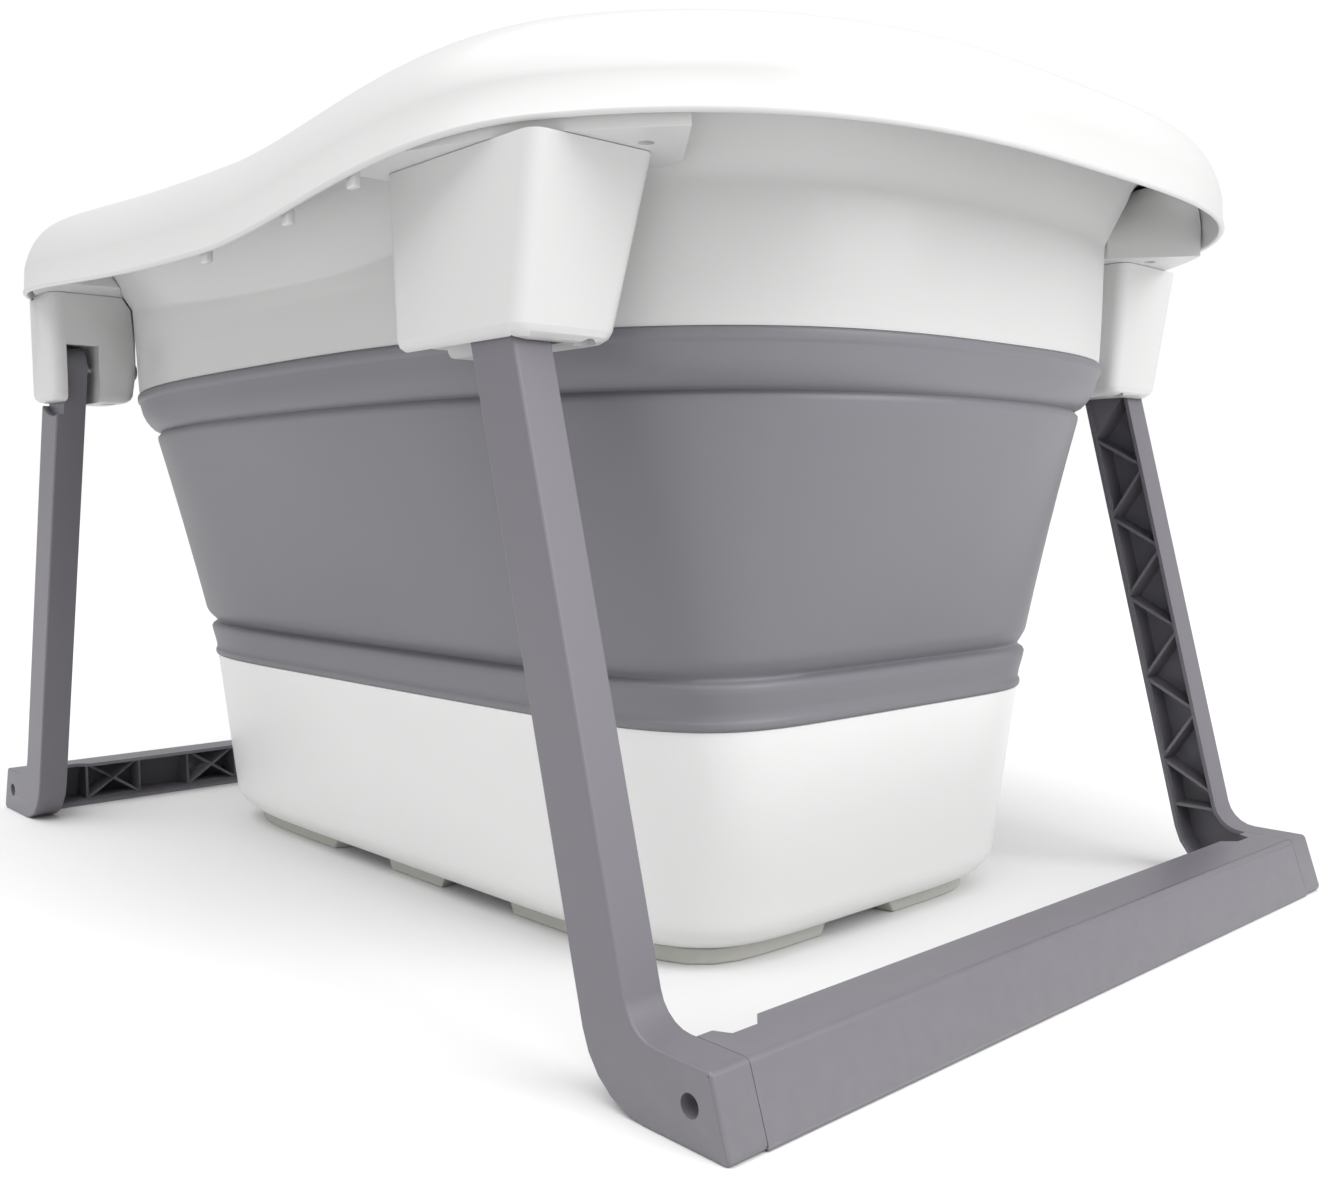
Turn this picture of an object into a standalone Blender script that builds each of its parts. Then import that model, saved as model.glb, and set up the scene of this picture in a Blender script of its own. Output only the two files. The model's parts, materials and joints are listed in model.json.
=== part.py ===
"""Collapsible baby bathtub: rigid rim shell, soft folding wall, rigid base tray and two fold-out leg frames.

Metres, +Z up, floor at z = 0. +X is the head end, +Y the left side.
Signs (end, side) place each mirrored copy.
"""

import math

import bmesh
import bpy
from mathutils import Matrix, Vector

PLAN_STEPS = 64
GAP = 0.0003

# Rim: lip line in plan, its height at the ends and its dip along the sides.
LIP_HALF_LENGTH = 0.4053
LIP_HALF_WIDTH = 0.3003
LIP_EXPONENT = 3.0
LIP_HEIGHT = 0.3893
LIP_DIP = 0.0292
DIP_X = 0.0884
DIP_REACH_HEAD = 0.210
DIP_REACH_FOOT = 0.530
BEAD_RADIUS = 0.0016
CREST_INSET = 0.025
CREST_RISE = 0.047
RIM_WIDTH = 0.050
RIM_DROP = 0.030
SHELL_THICKNESS = 0.0032

# Wall of the rim shell, below the rim.
WALL_DEPTH = 0.0727
WALL_INSET_AT_ENDS = 0.0564
WALL_INSET_AT_SIDES = 0.0679
WALL_EXPONENT = 2.9
WALL_DRAFT = 0.0012
STRAIGHT_HEIGHT = 0.0284
FLARE_BELOW_LIP = 0.004
FLARE_LENGTH_GAIN = 0.0016
FLARE_WIDTH_GAIN = 0.0030
WALL_BOTTOM = LIP_HEIGHT - WALL_DEPTH
WALL_HALF_LENGTH = LIP_HALF_LENGTH - WALL_INSET_AT_ENDS
WALL_HALF_WIDTH = LIP_HALF_WIDTH - WALL_INSET_AT_SIDES

# Base tray.
BASE_TOP = 0.1265
SOFT_TAPER_AT_ENDS = 0.0605
SOFT_TAPER_AT_SIDES = 0.0740
BASE_EXPONENT = 6.2
BASE_DRAFT_LENGTH = 0.0120
BASE_DRAFT_WIDTH = 0.0080
BASE_THICKNESS = 0.0030
BASE_CORNER_RADIUS = 0.020
BASE_BOTTOM = 0.0090
DRAIN_FROM_END = 0.0984
DRAIN_RADIUS = 0.015
BASE_TOP_HALF_LENGTH = WALL_HALF_LENGTH - SOFT_TAPER_AT_ENDS
BASE_TOP_HALF_WIDTH = WALL_HALF_WIDTH - SOFT_TAPER_AT_SIDES
DRAIN_X = DRAIN_FROM_END - BASE_TOP_HALF_LENGTH

# Drain plug.
PLUG_FLANGE = 0.004
PLUG_FLANGE_HEIGHT = 0.003
PLUG_NECK_RADIUS = 0.006
PLUG_NECK_HEIGHT = 0.005
PLUG_KNOB_RADIUS = 0.008
PLUG_KNOB_HEIGHT = 0.004

# Soft wall: how far it steps in above the base, and its grooves.
SOFT_THICKNESS = 0.0030
SOFT_BEAD = 0.0013
BEAD_HEIGHT = 0.0050
GROOVE_DEPTH = 0.0030
UPPER_GROOVE_BELOW_SHELL = 0.0270
LOWER_GROOVE_ABOVE_BASE = 0.0254
SHOULDER_HEIGHT = 0.0130
SHOULDER_LENGTH = 0.0110
SHOULDER_WIDTH = 0.0130
FLANK_STEP = 0.0035
FLANK_TOP_EXPONENT = 2.6
FLANK_END_EXPONENT = 4.4

# Pads under the base.
PAD_EXPONENT = 8.0
PAD_WIDTH = 0.018
PAD_END_DRAFT = 0.25
SIDE_PAD_HALF_LENGTH = 0.034
CORNER_PAD_FROM_X = 0.101
CORNER_PAD_FROM_Y = 0.027

# Leg frames.
LEDGE_BELOW_LIP = 0.0043
PIVOT_BELOW_LEDGE = 0.050
PIVOT_FROM_LIP = 0.1435
LEG_BESIDE_WALL = 0.0023
LEG_LEAN = math.radians(14.3)
LEG_DEPTH = 0.0300
LEG_WIDTH = 0.0196
LEG_WALL = 0.0030
LEG_LIP = 0.0024
HEEL_RADIUS = 0.038
ANKLE_RADIUS = 0.018
TOE_HEIGHT = 0.033
TOE_LENGTH = 0.0473
TOE_RAKE = 0.0108
TOE_CORNER = 0.003
RIB_COUNT = 10
RIB_FIRST = 0.0272
RIB_PITCH = 0.0268
RIB_THICKNESS = 0.0020
RIB_RECESS = 0.0020
FOOT_RIB_HEIGHT = 0.043
LEG_NECK = 0.0048
LEG_NECK_RADIUS = 0.0335
FLANGE = 0.0025
CROSSBAR_DEPTH = 0.0390
CROSSBAR_RIB_RECESS = 0.014
CROSSBAR_END_WALL = 0.008
CELL_LENGTH = 0.042
CELL_CENTRES = (0.0, 0.095, 0.178)
NOTCH_DEPTH = 0.008
NOTCH_FROM_END = 0.008
NOTCH_LENGTH = 0.026
LEDGE_HEIGHT = LIP_HEIGHT - LEDGE_BELOW_LIP
PIVOT_X = LIP_HALF_LENGTH - PIVOT_FROM_LIP
PIVOT_Z = LEDGE_HEIGHT - PIVOT_BELOW_LEDGE
LEG_INNER_Y = WALL_HALF_WIDTH + LEG_BESIDE_WALL
FRAME_HALF_WIDTH = LEG_INNER_Y + LEG_WIDTH
CROSSBAR_HALF_LENGTH = LEG_INNER_Y - GAP

# Pins and screws.
PIN_RADIUS = 0.0040
PIN_CLEARANCE = 0.0003
PIN_HEAD_RADIUS = 0.0060
PIN_HEAD_HEIGHT = 0.0024
SCREW_RADIUS = 0.0020
SCREW_HEAD_RADIUS = 0.0046
SCREW_HEAD_HEIGHT = 0.0030
SCREW_CLEARANCE = 0.0003
SCREW_BEHIND_TOE_TIP = 0.022
SCREW_HEIGHT = 0.017
SCREW_SINK = 0.011
SCREW_BITE = 0.006
SCREW_BOSS_RADIUS = 0.0075

# Housings of the pivots.
HEAD_HOUSING_INNER_REACH = 0.068
HEAD_HOUSING_OUTER_REACH = 0.0300
HEAD_HOUSING_DEPTH = 0.080
HEAD_HOUSING_DRAFT = 0.014
FOOT_HOUSING_INNER_REACH = 0.0208
FOOT_HOUSING_OUTER_REACH = 0.0282
FOOT_HOUSING_DEPTH = 0.074
FOOT_HOUSING_DRAFT = 0.001
HOUSING_INSIDE_LEG = 0.0297
HOUSING_INNER_DRAFT = 0.012
HEAD_HOUSING_OUTER_WALL = 0.0032
FOOT_HOUSING_OUTER_WALL = 0.0090
HOUSING_CORNER = 0.007
HOUSING_ROOF = 0.004
HOUSING_EDGE = 0.0056
HOUSING_DRAFT_INSIDE = 0.3
HEAD_HOUSING_SCREWS = ((-0.030, 0.017), (0.024, 0.013))
FOOT_HOUSING_SCREWS = ((-0.004, 0.013),)
SLOT_CLEARANCE = 0.0008
SLOT_INNER_CLEARANCE = 0.0060
HOUSING_INNER_Y = LEG_INNER_Y - HOUSING_INSIDE_LEG

# Ledges under the rim that carry the housings.
LEDGE_MARGIN = 0.008
LEDGE_END_INSIDE = 0.003
LEDGE_END_OUTSIDE = 0.039
LEDGE_INNER_EDGE = 0.017
LEDGE_HOLE_FROM_HOUSING = 0.0082
LEDGE_HOLE_FROM_INNER_FACE = 0.002
LEDGE_HOLE_RADIUS = 0.0035
LEDGE_HOLE_DEPTH = 0.012

# Folding: how far the base rises and how far each leg frame turns in while it does.
FOLDED_BASE_BELOW_PIVOT = 0.045
BASE_RISE = PIVOT_Z - FOLDED_BASE_BELOW_PIVOT
HEAD_FOLD = math.radians(69.0)
FOOT_FOLD = math.radians(101.0)

ENDS = {"head": 1, "foot": -1}
SIDES = {"left": 1, "right": -1}
PAD_TOP = BASE_BOTTOM - GAP


def start_clean():
    for item in list(bpy.data.objects):
        bpy.data.objects.remove(item)


def plastic(name, color, roughness):
    """A Principled material with one colour."""
    material = bpy.data.materials.new(name)
    material.use_nodes = True
    shader = material.node_tree.nodes["Principled BSDF"]
    shader.inputs["Base Color"].default_value = (*color, 1.0)
    shader.inputs["Roughness"].default_value = roughness
    shader.inputs["Metallic"].default_value = 0.0
    return material


def add_object(name, mesh_data, material):
    """Turns a bmesh into an object with outward faces. Without a material it is a hidden cutter."""
    bmesh.ops.recalc_face_normals(mesh_data, faces=mesh_data.faces)
    mesh = bpy.data.meshes.new(name)
    mesh_data.to_mesh(mesh)
    mesh_data.free()
    item = bpy.data.objects.new(name, mesh)
    bpy.context.scene.collection.objects.link(item)
    if material:
        mesh.materials.append(plastic(name + "_material", *material))
    else:
        item.hide_render = True
        item.display_type = "WIRE"
    return item


def add_loft(mesh_data, rings, closed=False):
    """Joins rings of equal count with quads. An open loft is capped, a closed one meets its first ring."""
    loops = [[mesh_data.verts.new(point) for point in ring] for ring in rings]
    pairs = list(zip(loops, loops[1:]))
    if closed:
        pairs.append((loops[-1], loops[0]))
    else:
        mesh_data.faces.new(loops[0])
        mesh_data.faces.new(loops[-1])
    for low, high in pairs:
        for index in range(len(low)):
            after = (index + 1) % len(low)
            mesh_data.faces.new((low[index], low[after], high[after], high[index]))


def loft(name, rings, material=None, closed=False):
    mesh_data = bmesh.new()
    add_loft(mesh_data, rings, closed)
    return add_object(name, mesh_data, material)


def modify(item, cutter, operation):
    """Adds a Boolean of one hidden helper."""
    modifier = item.modifiers.new(cutter.name, "BOOLEAN")
    modifier.operation = operation
    modifier.solver = "EXACT"
    modifier.object = cutter


def cut(item, cutter):
    modify(item, cutter, "DIFFERENCE")


def join(item, addition):
    modify(item, addition, "UNION")


def ring(half_length, half_width, exponent, height):
    """Superellipse ring. height is a number, or a function of x."""
    points = []
    for step in range(PLAN_STEPS):
        angle = 2 * math.pi * step / PLAN_STEPS
        x, y = plan_point(half_length, half_width, exponent, angle)
        points.append(Vector((x, y, height(x) if callable(height) else height)))
    return points


def plan_point(half_length, half_width, exponent, angle):
    across, along = math.cos(angle), math.sin(angle)
    size = (abs(across) ** exponent + abs(along) ** exponent) ** (1 / exponent)
    return half_length * across / size, half_width * along / size


def plan_width(half_length, half_width, exponent, x):
    """Half the width of a superellipse at x."""
    return half_width * max(0.0, 1 - abs(x / half_length) ** exponent) ** (1 / exponent)


def lip_height(x):
    reach = DIP_REACH_HEAD if x > DIP_X else DIP_REACH_FOOT
    share = min(1.0, abs(x - DIP_X) / reach)
    return LIP_HEIGHT - LIP_DIP * 0.5 * (1 + math.cos(math.pi * share))


def rim_arch(offset):
    """Rim cross-section from lip to basin, as (inset, rise) points, offset from its middle line."""
    middle = SHELL_THICKNESS / 2
    points = []
    rise = CREST_RISE - middle - BEAD_RADIUS
    for step in range(5):
        angle = math.radians(20 + 70 * step / 4)
        points.append(arch_point(-(CREST_INSET - middle), rise, angle, BEAD_RADIUS, offset))
    for step in range(1, 5):
        angle = math.radians(90 - 72 * step / 4)
        width = RIM_WIDTH - CREST_INSET
        base = CREST_RISE - middle - RIM_DROP
        points.append(arch_point(width, RIM_DROP, angle, base, offset))
    return points


def arch_point(width, rise, angle, base, offset):
    """Point of a quarter ellipse centred under the crest, moved along its normal."""
    normal = Vector((math.cos(angle) / width, math.sin(angle) / rise)).normalized()
    inset = CREST_INSET + width * math.cos(angle) + offset * normal.x
    return inset, base + rise * math.sin(angle) + offset * normal.y


def rim_ring(inset, rise):
    return ring(
        LIP_HALF_LENGTH - inset,
        LIP_HALF_WIDTH - inset,
        LIP_EXPONENT,
        lambda x: lip_height(x) + rise,
    )


def wall_rings(grow, bottom=WALL_BOTTOM):
    """Rings of the shell's wall from the flare down to its bottom edge, grown by a distance in plan."""
    length = WALL_HALF_LENGTH + grow
    width = WALL_HALF_WIDTH + grow
    flare = ring(
        length + FLARE_LENGTH_GAIN,
        width + FLARE_WIDTH_GAIN,
        WALL_EXPONENT,
        lambda x: lip_height(x) - FLARE_BELOW_LIP,
    )
    bottom_edge = WALL_BOTTOM + STRAIGHT_HEIGHT
    straight = ring(length + WALL_DRAFT, width + WALL_DRAFT, WALL_EXPONENT, bottom_edge)
    return [flare, straight, ring(length, width, WALL_EXPONENT, bottom)]


def make_rim_shell(material):
    """Rim, wall and ledges in one moulding."""
    half = SHELL_THICKNESS / 2
    bead = [math.radians(angle) for angle in (150, 210, 270, 330)]
    rings = [
        rim_ring(BEAD_RADIUS * (1 + math.cos(angle)), BEAD_RADIUS * (1 + math.sin(angle)))
        for angle in reversed(bead)
    ]
    rings += [rim_ring(*point) for point in rim_arch(half)]
    rings += wall_rings(-SHELL_THICKNESS)
    rings += reversed(wall_rings(0.0))
    rings += [rim_ring(*point) for point in reversed(rim_arch(-half))]
    shell = loft("rim_shell", rings, material, closed=True)
    for end_name, end in ENDS.items():
        for side_name, side in SIDES.items():
            name = f"{end_name}_{side_name}_ledge"
            join(shell, make_ledge(name, end, side))
    for side_name, side in SIDES.items():
        hole_x = housing_span(1)[1] + LEDGE_HOLE_FROM_HOUSING
        hole_y = HOUSING_INNER_Y + LEDGE_HOLE_FROM_INNER_FACE
        hole_at = Vector((hole_x, side * hole_y, LEDGE_HEIGHT - GAP))
        tool = rod(f"{side_name}_ledge_hole", hole_at, (0, 0, 1), [(LEDGE_HOLE_RADIUS, LEDGE_HOLE_DEPTH)])
        cut(shell, tool)
    for end_name, end in ENDS.items():
        for side_name, side in SIDES.items():
            for index, place in enumerate(housing_screw_places(end)):
                start = Vector((place.x * end, place.y * side, LEDGE_HEIGHT - GAP))
                depth = SCREW_BITE + 2 * GAP
                name = f"{end_name}_{side_name}_ledge_pilot_{index + 1}"
                cut(shell, rod(name, start, (0, 0, 1), [(SCREW_RADIUS + SCREW_CLEARANCE, depth)]))
    return shell


def make_ledge(name, end, side):
    """Solid boss between the wall and the apron, flat underneath, that fills the rim's hollow."""
    low, inner_end, outer_end = ledge_span(end)
    stations = []
    for step in range(9):
        wall_x = low + (inner_end - low) * step / 8
        x = low + (outer_end - low) * step / 8
        flare = plan_width(
            WALL_HALF_LENGTH + FLARE_LENGTH_GAIN - SHELL_THICKNESS / 2,
            WALL_HALF_WIDTH + FLARE_WIDTH_GAIN - SHELL_THICKNESS / 2,
            WALL_EXPONENT,
            wall_x,
        )
        lift = LEDGE_HEIGHT - lip_height(end * x)
        arch = [point for point in rim_arch(0.0) if point[1] > lift + 0.002]
        share = max(0.0, (lift + FLARE_BELOW_LIP) / (arch[-1][1] + FLARE_BELOW_LIP))
        wall = flare + share * (lip_y(arch[-1][0], wall_x) - flare)
        wall = max(wall, HOUSING_INNER_Y - LEDGE_INNER_EDGE)
        outline = [(wall_x, wall, LEDGE_HEIGHT), (x, lip_y(arch[0][0], x), LEDGE_HEIGHT)]
        for index, (inset, rise) in enumerate(arch):
            back = wall_x + (x - wall_x) * (1 - index / (len(arch) - 1))
            outline.append((back, lip_y(inset, back), lip_height(end * back) + rise))
        stations.append([Vector((end * a, side * b, z)) for a, b, z in even_outline(outline, 12)])
    return loft(name, stations)


def lip_y(inset, x):
    return plan_width(LIP_HALF_LENGTH - inset, LIP_HALF_WIDTH - inset, LIP_EXPONENT, x)


def even_outline(points, count):
    """Repeats the last point so that every outline has the same count."""
    x, y, z = points[-1]
    spare = range(1, count - len(points) + 1)
    return points + [(x, y - 0.0001 * step, z - 0.0001 * step) for step in spare]


def ledge_span(end):
    """Lowest |x| of a ledge, and its highest at the wall and at the lip."""
    low, high = housing_span(end)
    if end > 0:
        return low - LEDGE_MARGIN, high - LEDGE_END_INSIDE, high + LEDGE_END_OUTSIDE
    return low - LEDGE_MARGIN, high - LEDGE_MARGIN / 2, high - LEDGE_MARGIN / 2


def housing_span(end):
    """Lowest and highest |x| of a housing at its top."""
    if end > 0:
        draft = HEAD_HOUSING_DRAFT
        return PIVOT_X - HEAD_HOUSING_INNER_REACH, PIVOT_X + HEAD_HOUSING_OUTER_REACH + draft
    draft = FOOT_HOUSING_DRAFT
    return PIVOT_X - FOOT_HOUSING_INNER_REACH, PIVOT_X + FOOT_HOUSING_OUTER_REACH + draft


def make_base(material):
    """Tray with a rounded lower edge and a drain hole."""
    outer = [ring(BASE_TOP_HALF_LENGTH, BASE_TOP_HALF_WIDTH, BASE_EXPONENT, BASE_TOP)]
    outer += base_corner(0.0, BASE_BOTTOM)
    inner = [
        ring(
            BASE_TOP_HALF_LENGTH - BASE_THICKNESS,
            BASE_TOP_HALF_WIDTH - BASE_THICKNESS,
            BASE_EXPONENT,
            BASE_TOP,
        )
    ]
    inner += base_corner(BASE_THICKNESS, BASE_BOTTOM + BASE_THICKNESS)
    base = loft("base_basin", list(reversed(inner)) + outer, material)
    hole_at = Vector((DRAIN_X, 0, BASE_BOTTOM - BASE_THICKNESS))
    cut(base, rod("drain_hole", hole_at, (0, 0, 1), [(DRAIN_RADIUS, 3 * BASE_THICKNESS)], 32))
    return base


def base_corner(thickness, bottom):
    """Rings round the lower edge of the base, from its wall to its flat bottom."""
    length = BASE_TOP_HALF_LENGTH - BASE_DRAFT_LENGTH - thickness
    width = BASE_TOP_HALF_WIDTH - BASE_DRAFT_WIDTH - thickness
    radius = BASE_CORNER_RADIUS - thickness
    rings = []
    for step in range(5):
        angle = math.pi / 2 * step / 4
        inset = radius * (1 - math.cos(angle))
        height = bottom + radius * (1 - math.sin(angle))
        rings.append(ring(length - inset, width - inset, BASE_EXPONENT, height))
    return rings


def make_soft_wall(material):
    """Folding wall from the shell's bottom edge to the base's top edge, thick enough to stand up."""
    top, bottom = WALL_BOTTOM - GAP, BASE_TOP + GAP
    upper_groove = top - UPPER_GROOVE_BELOW_SHELL
    lower_groove = bottom + LOWER_GROOVE_ABOVE_BASE
    shoulder = lower_groove + SHOULDER_HEIGHT
    wide = (WALL_HALF_LENGTH, WALL_HALF_WIDTH, WALL_EXPONENT)
    narrow = (BASE_TOP_HALF_LENGTH, BASE_TOP_HALF_WIDTH, BASE_EXPONENT)
    flank_top = (wide[0] - FLANK_STEP, wide[1] - FLANK_STEP, FLANK_TOP_EXPONENT)
    end_width = narrow[1] + 1.35 * SHOULDER_WIDTH
    flank_end = (narrow[0] + SHOULDER_LENGTH, end_width, FLANK_END_EXPONENT)
    profile = [
        (top, wide, SOFT_BEAD),
        (top - BEAD_HEIGHT, wide, SOFT_BEAD),
        (top - 1.2 * BEAD_HEIGHT, wide, 0.0),
        (upper_groove + 0.0015, flank_top, 0.0),
        (upper_groove, flank_top, -GROOVE_DEPTH),
        (upper_groove - 0.0015, flank_top, 0.0),
        (shoulder, flank_end, 0.0),
        (lower_groove + 0.002, narrow, 0.45 * SHOULDER_WIDTH),
        (lower_groove, narrow, 0.0),
        (lower_groove - 0.002, narrow, 0.0030),
        (bottom + BEAD_HEIGHT, narrow, 0.0004),
        (bottom + 0.8 * BEAD_HEIGHT, narrow, SOFT_BEAD),
        (bottom, narrow, SOFT_BEAD),
    ]
    outer = [soft_ring(height, shape, grow) for height, shape, grow in profile]
    inner_profile = [profile[index] for index in (0, 3, 6, 8, 12)]
    inner = [
        soft_ring(height, shape, min(grow, 0.0) - SOFT_THICKNESS)
        for height, shape, grow in reversed(inner_profile)
    ]
    return loft("soft_wall", outer + inner, material, closed=True)


def soft_ring(height, shape, grow):
    length, width, exponent = shape
    return ring(length + grow, width + grow, exponent, height)


def pad_stations(from_angle, to_angle, count):
    """Rings of a pad: rectangles that follow the edge of the base's flat bottom."""
    length = BASE_TOP_HALF_LENGTH - BASE_DRAFT_LENGTH - BASE_CORNER_RADIUS
    width = BASE_TOP_HALF_WIDTH - BASE_DRAFT_WIDTH - BASE_CORNER_RADIUS
    stations = []
    for step in range(count + 1):
        angle = from_angle + (to_angle - from_angle) * step / count
        outer = plan_point(length, width, PAD_EXPONENT, angle)
        inner = plan_point(length - PAD_WIDTH, width - PAD_WIDTH, PAD_EXPONENT, angle)
        stations.append(
            [
                Vector((*outer, 0)),
                Vector((*outer, PAD_TOP)),
                Vector((*inner, PAD_TOP)),
                Vector((*inner, 0)),
            ]
        )
    for end_station, beside in ((0, 1), (-1, -2)):
        for corner in (0, 3):
            pull = stations[beside][corner] - stations[end_station][corner]
            stations[end_station][corner] += pull.normalized() * PAD_END_DRAFT * PAD_WIDTH
    return stations


def make_pads(material):
    """Two short pads mid-side and four that wrap the corners."""
    length = BASE_TOP_HALF_LENGTH - BASE_DRAFT_LENGTH - BASE_CORNER_RADIUS
    width = BASE_TOP_HALF_WIDTH - BASE_DRAFT_WIDTH - BASE_CORNER_RADIUS
    half_turn = math.atan(SIDE_PAD_HALF_LENGTH / length)
    pads = []
    for side_name, side in SIDES.items():
        middle = side * math.pi / 2
        stations = pad_stations(middle - half_turn, middle + half_turn, 2)
        pads.append(loft(f"pad_{side_name}_side", stations, material))
    first = math.atan(CORNER_PAD_FROM_Y / width)
    last = math.pi / 2 - math.atan(CORNER_PAD_FROM_X / length)
    for end_name, end in ENDS.items():
        for side_name, side in SIDES.items():
            stations = [
                [Vector((end * point.x, side * point.y, point.z)) for point in station]
                for station in pad_stations(first, last, 14)
            ]
            pads.append(loft(f"pad_{end_name}_{side_name}", stations, material))
    return pads


def rod(name, start, direction, steps, sides=20, material=None):
    """Turned piece along an axis. steps are (radius, length) in order from start."""
    turn = Vector((0, 0, 1)).rotation_difference(Vector(direction)).to_matrix()
    rings = []
    height = 0.0
    for radius, length in steps:
        for level in (height, height + length):
            rings.append(
                [
                    start + turn @ Vector((radius * math.cos(a), radius * math.sin(a), level))
                    for a in (2 * math.pi * step / sides for step in range(sides))
                ]
            )
        height += length
    return loft(name, rings, material)


def offset_corners(corners, insets):
    """Moves each edge of an anticlockwise outline inwards, and keeps its rounding concentric."""
    count = len(corners)
    lines = []
    for index in range(count):
        start, end = (Vector(corners[(index + step) % count][:2]) for step in (0, 1))
        along = (end - start).normalized()
        inward = Vector((-along.y, along.x))
        lines.append((start + inward * insets[index], along))
    moved = []
    for index in range(count):
        (start, along), (other, across) = lines[index - 1], lines[index]
        turn = along.x * across.y - along.y * across.x
        share = ((other - start).x * across.y - (other - start).y * across.x) / turn
        point = start + along * share
        radius = corners[index][2] + (-insets[index] if turn > 0 else insets[index])
        moved.append((point.x, point.y, max(radius, 0.0005) if corners[index][2] else 0.0))
    return moved


def rounded(corners, steps=5):
    """Replaces each corner (x, z, radius) with an arc."""
    points = []
    count = len(corners)
    for index, (x, z, radius) in enumerate(corners):
        corner = Vector((x, z))
        if radius <= 0:
            points.append(corner)
            continue
        before = (Vector(corners[index - 1][:2]) - corner).normalized()
        after = (Vector(corners[(index + 1) % count][:2]) - corner).normalized()
        half = before.angle(after) / 2
        reach = radius / math.tan(half)
        centre = corner + (before + after).normalized() * radius / math.sin(half)
        first = corner + before * reach - centre
        swing = first.angle_signed(corner + after * reach - centre)
        for step in range(steps + 1):
            points.append(centre + Matrix.Rotation(-swing * step / steps, 2) @ first)
    return points


def leg_axis():
    """Unit vectors along the leg, away from its pivot, and across it, outwards, in X and Z."""
    along = Vector((math.sin(LEG_LEAN), -math.cos(LEG_LEAN)))
    return along, Vector((-along.y, along.x))


def on_leg(distance, across):
    along, outward = leg_axis()
    return Vector((PIVOT_X, PIVOT_Z)) + along * distance + outward * across


def line_at_height(across, height):
    """Where a line along the leg crosses a height."""
    start = on_leg(0, across)
    return start.x + (start.y - height) * math.tan(LEG_LEAN)


def toe_tip():
    """Furthest |x| of a foot, on the floor."""
    return line_at_height(LEG_DEPTH / 2, 0) + TOE_LENGTH


def leg_corners():
    """Anticlockwise outline of a leg, in X and Z."""
    half = LEG_DEPTH / 2
    tip = toe_tip()
    top = half - 0.0002
    return [
        (*on_leg(-half, half), top),
        (*on_leg(-half, -half), top),
        (line_at_height(-half, 0), 0.0, HEEL_RADIUS),
        (tip, 0.0, TOE_CORNER),
        (tip - TOE_RAKE, TOE_HEIGHT, TOE_CORNER),
        (line_at_height(half, TOE_HEIGHT), TOE_HEIGHT, ANKLE_RADIUS),
    ]


def add_prism(mesh_data, outline, low_y, high_y, end, side):
    """Outline in X and Z, swept between two distances from the centre plane."""
    rings = [
        [Vector((end * point[0], side * y, point[1])) for point in outline]
        for y in (low_y, high_y)
    ]
    add_loft(mesh_data, rings)


def leg_cells(clear_of_pivot):
    """Outlines of the pockets between the zigzag ribs, at least a distance from the pivot."""
    half = LEG_DEPTH / 2
    nodes = []
    for index in range(RIB_COUNT + 1):
        across = half if index % 2 == 0 else -half
        nodes.append(on_leg(RIB_FIRST + RIB_PITCH * index, across))
    cells = []
    for index in range(RIB_COUNT - 1):
        if RIB_FIRST + RIB_PITCH * index < clear_of_pivot:
            continue
        first, middle, last = nodes[index : index + 3]
        if index % 2:
            triangle, insets = [first, middle, last], (1, 1, 0)
        else:
            triangle, insets = [last, middle, first], (1, 1, 0)
        if signed_area(triangle) < 0:
            triangle.reverse()
            insets = (insets[1], insets[0], insets[2])
        walls = [RIB_THICKNESS / 2 if rib else LEG_WALL for rib in insets]
        cells.append([tuple(p[:2]) for p in offset_corners([(*p, 0.0) for p in triangle], walls)])
    return cells


def signed_area(points):
    pairs = zip(points, points[1:] + points[:1])
    return sum(a[0] * b[1] - b[0] * a[1] for a, b in pairs) / 2


def foot_cell():
    """Pocket of the foot, below the last rib."""
    half = LEG_DEPTH / 2
    top = RIB_FIRST + RIB_PITCH * RIB_COUNT
    corners = leg_corners()
    corners[0] = (*on_leg(top, half), 0.0)
    corners[1] = (*on_leg(top - RIB_PITCH, -half), 0.0)
    insets = [RIB_THICKNESS / 2] + [LEG_WALL] * 5
    return rounded(offset_corners(corners, insets))


def foot_rib_outline():
    """Level rib across the pocket above the foot."""
    half = LEG_DEPTH / 2 - LEG_WALL / 2
    low, high = FOOT_RIB_HEIGHT - RIB_THICKNESS / 2, FOOT_RIB_HEIGHT + RIB_THICKNESS / 2
    return [
        (line_at_height(-half, low), low),
        (line_at_height(half, low), low),
        (line_at_height(half, high), high),
        (line_at_height(-half, high), high),
    ]


def recess_outline():
    """Shallow pocket over all the ribs."""
    corners = leg_corners()
    half = LEG_DEPTH / 2
    start = RIB_FIRST - RIB_PITCH / 3
    corners[0] = (*on_leg(start, half), 0.0)
    corners[1] = (*on_leg(start, -half), 0.0)
    return rounded(offset_corners(corners, [LEG_LIP] * 6))


def toe_screw_point():
    return Vector((toe_tip() - SCREW_BEHIND_TOE_TIP, SCREW_HEIGHT))


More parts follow.
